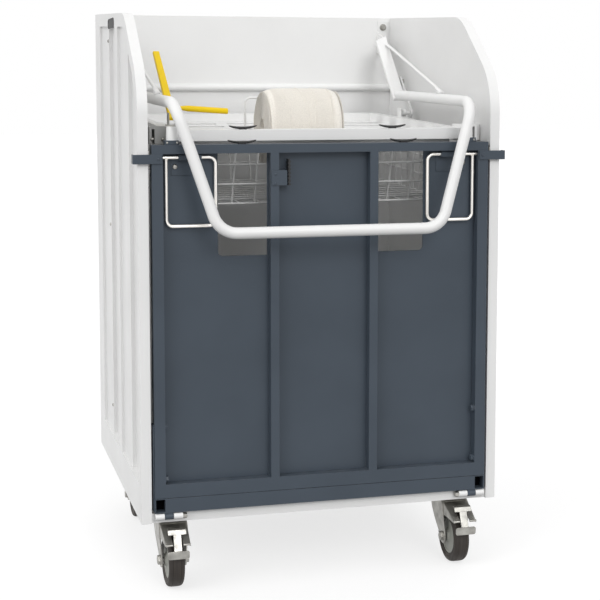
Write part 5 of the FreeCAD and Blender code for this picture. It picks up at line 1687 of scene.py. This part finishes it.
# A cleat's rise, its half width and its half thickness: a size, how much it changes, and how
# late towards the tips.
CLEAT_RISE, CLEAT_WIDE, CLEAT_THICK = (3.7, 4.9, 2.4), (5.6, 0.3, 2), (2.9, 0.5, 3)
CLEAT_TIP = (2.0 * MM, 0.9 * MM)
CUTTER_X = (-125, -107, -89)
CUTTER_Z = (927, 961)
# The blade's X, its foot and its length, then its waves: turn a step, swing and half width.
BLADE = (-84.4, 927, 59)
BLADE_STEPS = 48
WAVE_TURN, WAVE_SWING = 0.9, 0.9
BLADE_HALF, BLADE_SWELL = 2.4, 0.5
FOOT_LOW = (334, -4, 1020)
FOOT_HIGH = (365, 21, 1030)
POST = (348, 9, 1030)
FOOT_SCREW_X = (338, 360)
# Plates of painted shadow inside the sill's open ends.
SHADOW_PLATE_LOW = (372.3, 18, 194.3)
SHADOW_PLATE_HIGH = (392.7, 20, 222.7)
# The hand hole's front and rear end, its middle's height and half its own height.
HAND_HOLE = (377, 489, 1302.3, 11)
# The liner's rings: how far outside the wall's face, and how large beside the hole.
LINER_RINGS = ((0.02, 1.12), (0.8, 1.12), (0.8, 0.9), (-10, 0.86))
HINGE = (-2, 183)
KNUCKLE_ROOM = 0.02 * MM
KNUCKLES = (("housing", "white_enamel", ((374, 395), (332, 353))),
            ("door", "dark_enamel", ((353.3, 373.7),)))
DOOR_TUBES_X = (370, 127, 107)
BEAD_SIDE = 0.6
BEAD_ENDS = (2, 26)


class BALER_OT_small_parts(bpy.types.Operator):
    """Make the cleats, the cutter, the posts, the hand hole liners, the sill's plates of painted
    shadow, the knuckles and the weld seams
    """
    bl_idname = "baler.small_parts"
    bl_label = "Small parts"

    def execute(self, context):
        self.cleats("door_cleats", "door")
        self.cleats("ram_cleats", "ram")
        self.cutter()
        self.sill_liners()
        self.stops()
        self.hand_holes()
        self.knuckles()
        self.seams(context.scene.baler_seams)
        return {"FINISHED"}

    def cleats(self, node, body):
        """Two horns that rise to both sides of a moulded foot, dished between them."""
        room = Space(node)
        half = CLEAT_LENGTH / 2
        y, base = room.middle[1], room.z[0]
        wide, deep, tall = CLEAT_FOOT
        bm = bmesh.new()
        for s in (-1, 1):
            x = s * (room.x[1] - half)
            path, shapes = [], []
            for k in range(25):
                share = k / 12 - 1
                foot, rise, late = CLEAT_RISE
                path.append(point(x + share * half * 0.98, y,
                                  base + foot + rise * abs(share) ** late))
                shapes.append([size * (1 - less * abs(share) ** late) * MM
                               for size, less, late in (CLEAT_WIDE, CLEAT_THICK)])
            shapes[0] = shapes[-1] = CLEAT_TIP
            sweep(bm, path, 4 * MM, 16, shapes)
            block(bm, point(x - wide, y - deep, base), point(x + wide, y + deep, base + tall))
        bmesh.ops.recalc_face_normals(bm, faces=bm.faces)
        smooth_piece(node + "_moulded", bm, body, "black_plastic", node)

    def cutter(self):
        """A small plate on the post and a wavy blade beside it."""
        plate, blade = Space("cutter_bracket"), Space("cutter_blade")
        left, middle, right = CUTTER_X
        low, high = CUTTER_Z
        outline = rounded_path([point(x, plate.y[0], z) for x, z in (
            (middle, low), (left, low), (left, high), (right, high), (right, low),
            (middle, low))], [3 * MM] * 4, math.radians(15))
        bm = bmesh.new()
        slab(bm, outline[:-1], (0, (plate.y[1] - plate.y[0]) * MM, 0))
        smooth_piece("cutter_plate", bm, "door", "dark_enamel", "cutter_bracket", angle=30)
        bm = bmesh.new()
        rows = []
        for k in range(BLADE_STEPS + 1):
            x = BLADE[0] + WAVE_SWING * math.sin(k * WAVE_TURN)
            z = BLADE[1] + BLADE[2] * k / BLADE_STEPS
            half = BLADE_HALF + BLADE_SWELL * math.sin(k * WAVE_TURN + 1)
            rows.append([bm.verts.new(point(x + side * half, y, z)) for side, y in (
                (-1, blade.y[0]), (1, blade.y[0]), (1, blade.y[1]), (-1, blade.y[1]))])
        close_ends(bm, rows)
        skin(bm, rows)
        bmesh.ops.recalc_face_normals(bm, faces=bm.faces)
        smooth_piece("cutter_blade_wavy", bm, "door", "black_plastic", "cutter_blade", angle=30)

    def stops(self):
        """Round posts on dark feet at both ends of the door's top rail."""
        feet, posts = bmesh.new(), bmesh.new()
        for s in (-1, 1):
            block(feet, mirrored(s, FOOT_LOW), mirrored(s, FOOT_HIGH))
            pin(posts, [(0, 12.6), (28, 11.8), (30, 10.6)], mirrored(s, POST), (0, 0, 1), 32)
        folded_piece("stop_feet", feet, 0.8 * MM, "door", "dark_enamel")
        smooth_piece("stop_posts", posts, "door", "white_enamel")
        screw = dome_screw("stop_screw", 5 * MM, 1.6 * MM, 0.3 * MM)
        height = (FOOT_LOW[2] + FOOT_HIGH[2]) / 2
        spots = [(point(s * x, FOOT_LOW[1], height), -BACK)
                 for s in (-1, 1) for x in FOOT_SCREW_X]
        heads("stop_screws", screw, spots, "door", "zinc", 21)
        bpy.data.objects.remove(screw)

    def sill_liners(self):
        """Near-black plates deep in the sill's open ends: painted shadow for the dark inside of
        the hollow sill.
        """
        bm = bmesh.new()
        for s in (-1, 1):
            block(bm, mirrored(s, SHADOW_PLATE_LOW), mirrored(s, SHADOW_PLATE_HIGH))
        settle(mesh_object("sill_liners", bm), "door", "dark_enamel", finish="deep_dark")

    def hand_holes(self):
        """Black liners that close the hollow walls behind the hand holes."""
        bm = bmesh.new()
        face = Space("side_wall_right").x[1]
        front, rear, middle, r = HAND_HOLE
        for s in (-1, 1):
            loops = []
            for out, share in LINER_RINGS:
                ring = []
                for turn in circle(32):
                    turn += math.pi / 32
                    centre = rear - r if math.cos(turn) > 0 else front + r
                    ring.append(bm.verts.new(point(s * (face + out),
                                                   centre + r * share * math.cos(turn),
                                                   middle + r * share * math.sin(turn))))
                loops.append(ring)
            skin(bm, loops)
            close_ends(bm, loops)
        bmesh.ops.recalc_face_normals(bm, faces=bm.faces)
        smooth_piece("hand_hole_liners", bm, "housing", "black_plastic", angle=30)

    def knuckles(self):
        """Round barrels over the hinge's flat-sided knuckles."""
        for body, slot, spans in KNUCKLES:
            bm = bmesh.new()
            for s in (-1, 1):
                for start, end in spans:
                    length = (end - start) * MM
                    capped(bm, [(KNUCKLE_ROOM, 6.9 * MM), (0.6 * MM, 7.3 * MM),
                                (length - 0.6 * MM, 7.3 * MM), (length - KNUCKLE_ROOM, 6.9 * MM)],
                           point(s * start, *HINGE), (s, 0, 0), 32)
            smooth_piece(body + "_knuckles", bm, body, slot, angle=30)

    def seams(self, seams):
        """Weld beads where the door's tubes meet."""
        door, panel = Space("door_frame"), Space("door_panel")
        face, paths = panel.y[0], []
        low, high = panel.z
        start, end = BEAD_ENDS
        for x in DOOR_TUBES_X:
            for s in (-1, 1):
                side = s * (x - BEAD_SIDE)
                paths.append([point(side, face, low + start), point(side, face, low + end)])
                paths.append([point(side, face, high - end), point(side, face, high - start)])
        for x in DOOR_TUBES_X[1:]:
            for s in (-1, 1):
                paths.append([point(s * x, door.y[0] + 0.8, low), point(s * x, face, low)])
        beads("door_welds", paths, "door", "dark_enamel", seams, 2.4 * MM)


class BALER_PT_panel(bpy.types.Panel):
    """The baler's settings and steps"""
    bl_idname = "BALER_PT_panel"
    bl_label = "Recycling baler"
    bl_space_type = "VIEW_3D"
    bl_region_type = "UI"
    bl_category = "Baler"

    def draw(self, context):
        for name, group in SETTINGS.items():
            box = self.layout.box()
            for prop in group.bl_rna.properties:
                if prop.identifier not in ("rna_type", "name"):
                    box.prop(getattr(context.scene, name), prop.identifier)
        for step in STEPS:
            self.layout.operator(step.bl_idname)


STEPS = (BALER_OT_finishes, BALER_OT_stage, BALER_OT_trees, BALER_OT_sheet_metal, BALER_OT_bail,
         BALER_OT_spool, BALER_OT_wires, BALER_OT_handles, BALER_OT_casters,
         BALER_OT_fasteners, BALER_OT_small_parts)
SETTINGS = {"baler_finishes": BalerFinishes, "baler_bail": BalerBail,
            "baler_handles": BalerHandles, "baler_casters": BalerCasters,
            "baler_twine": BalerTwine, "baler_wire": BalerWire, "baler_seams": BalerSeams,
            "baler_stage": BalerStage}
CLASSES = tuple(SETTINGS.values()) + STEPS + (BALER_PT_panel,)


def register():
    for made in CLASSES:
        bpy.utils.register_class(made)
    for name, group in SETTINGS.items():
        setattr(bpy.types.Scene, name, PointerProperty(type=group))


def unregister():
    for name in SETTINGS:
        delattr(bpy.types.Scene, name)
    for made in reversed(CLASSES):
        bpy.utils.unregister_class(made)


def main():
    register()
    for step in STEPS:
        group, name = step.bl_idname.split(".")
        getattr(getattr(bpy.ops, group), name)()


if __name__ == "__main__":
    main()
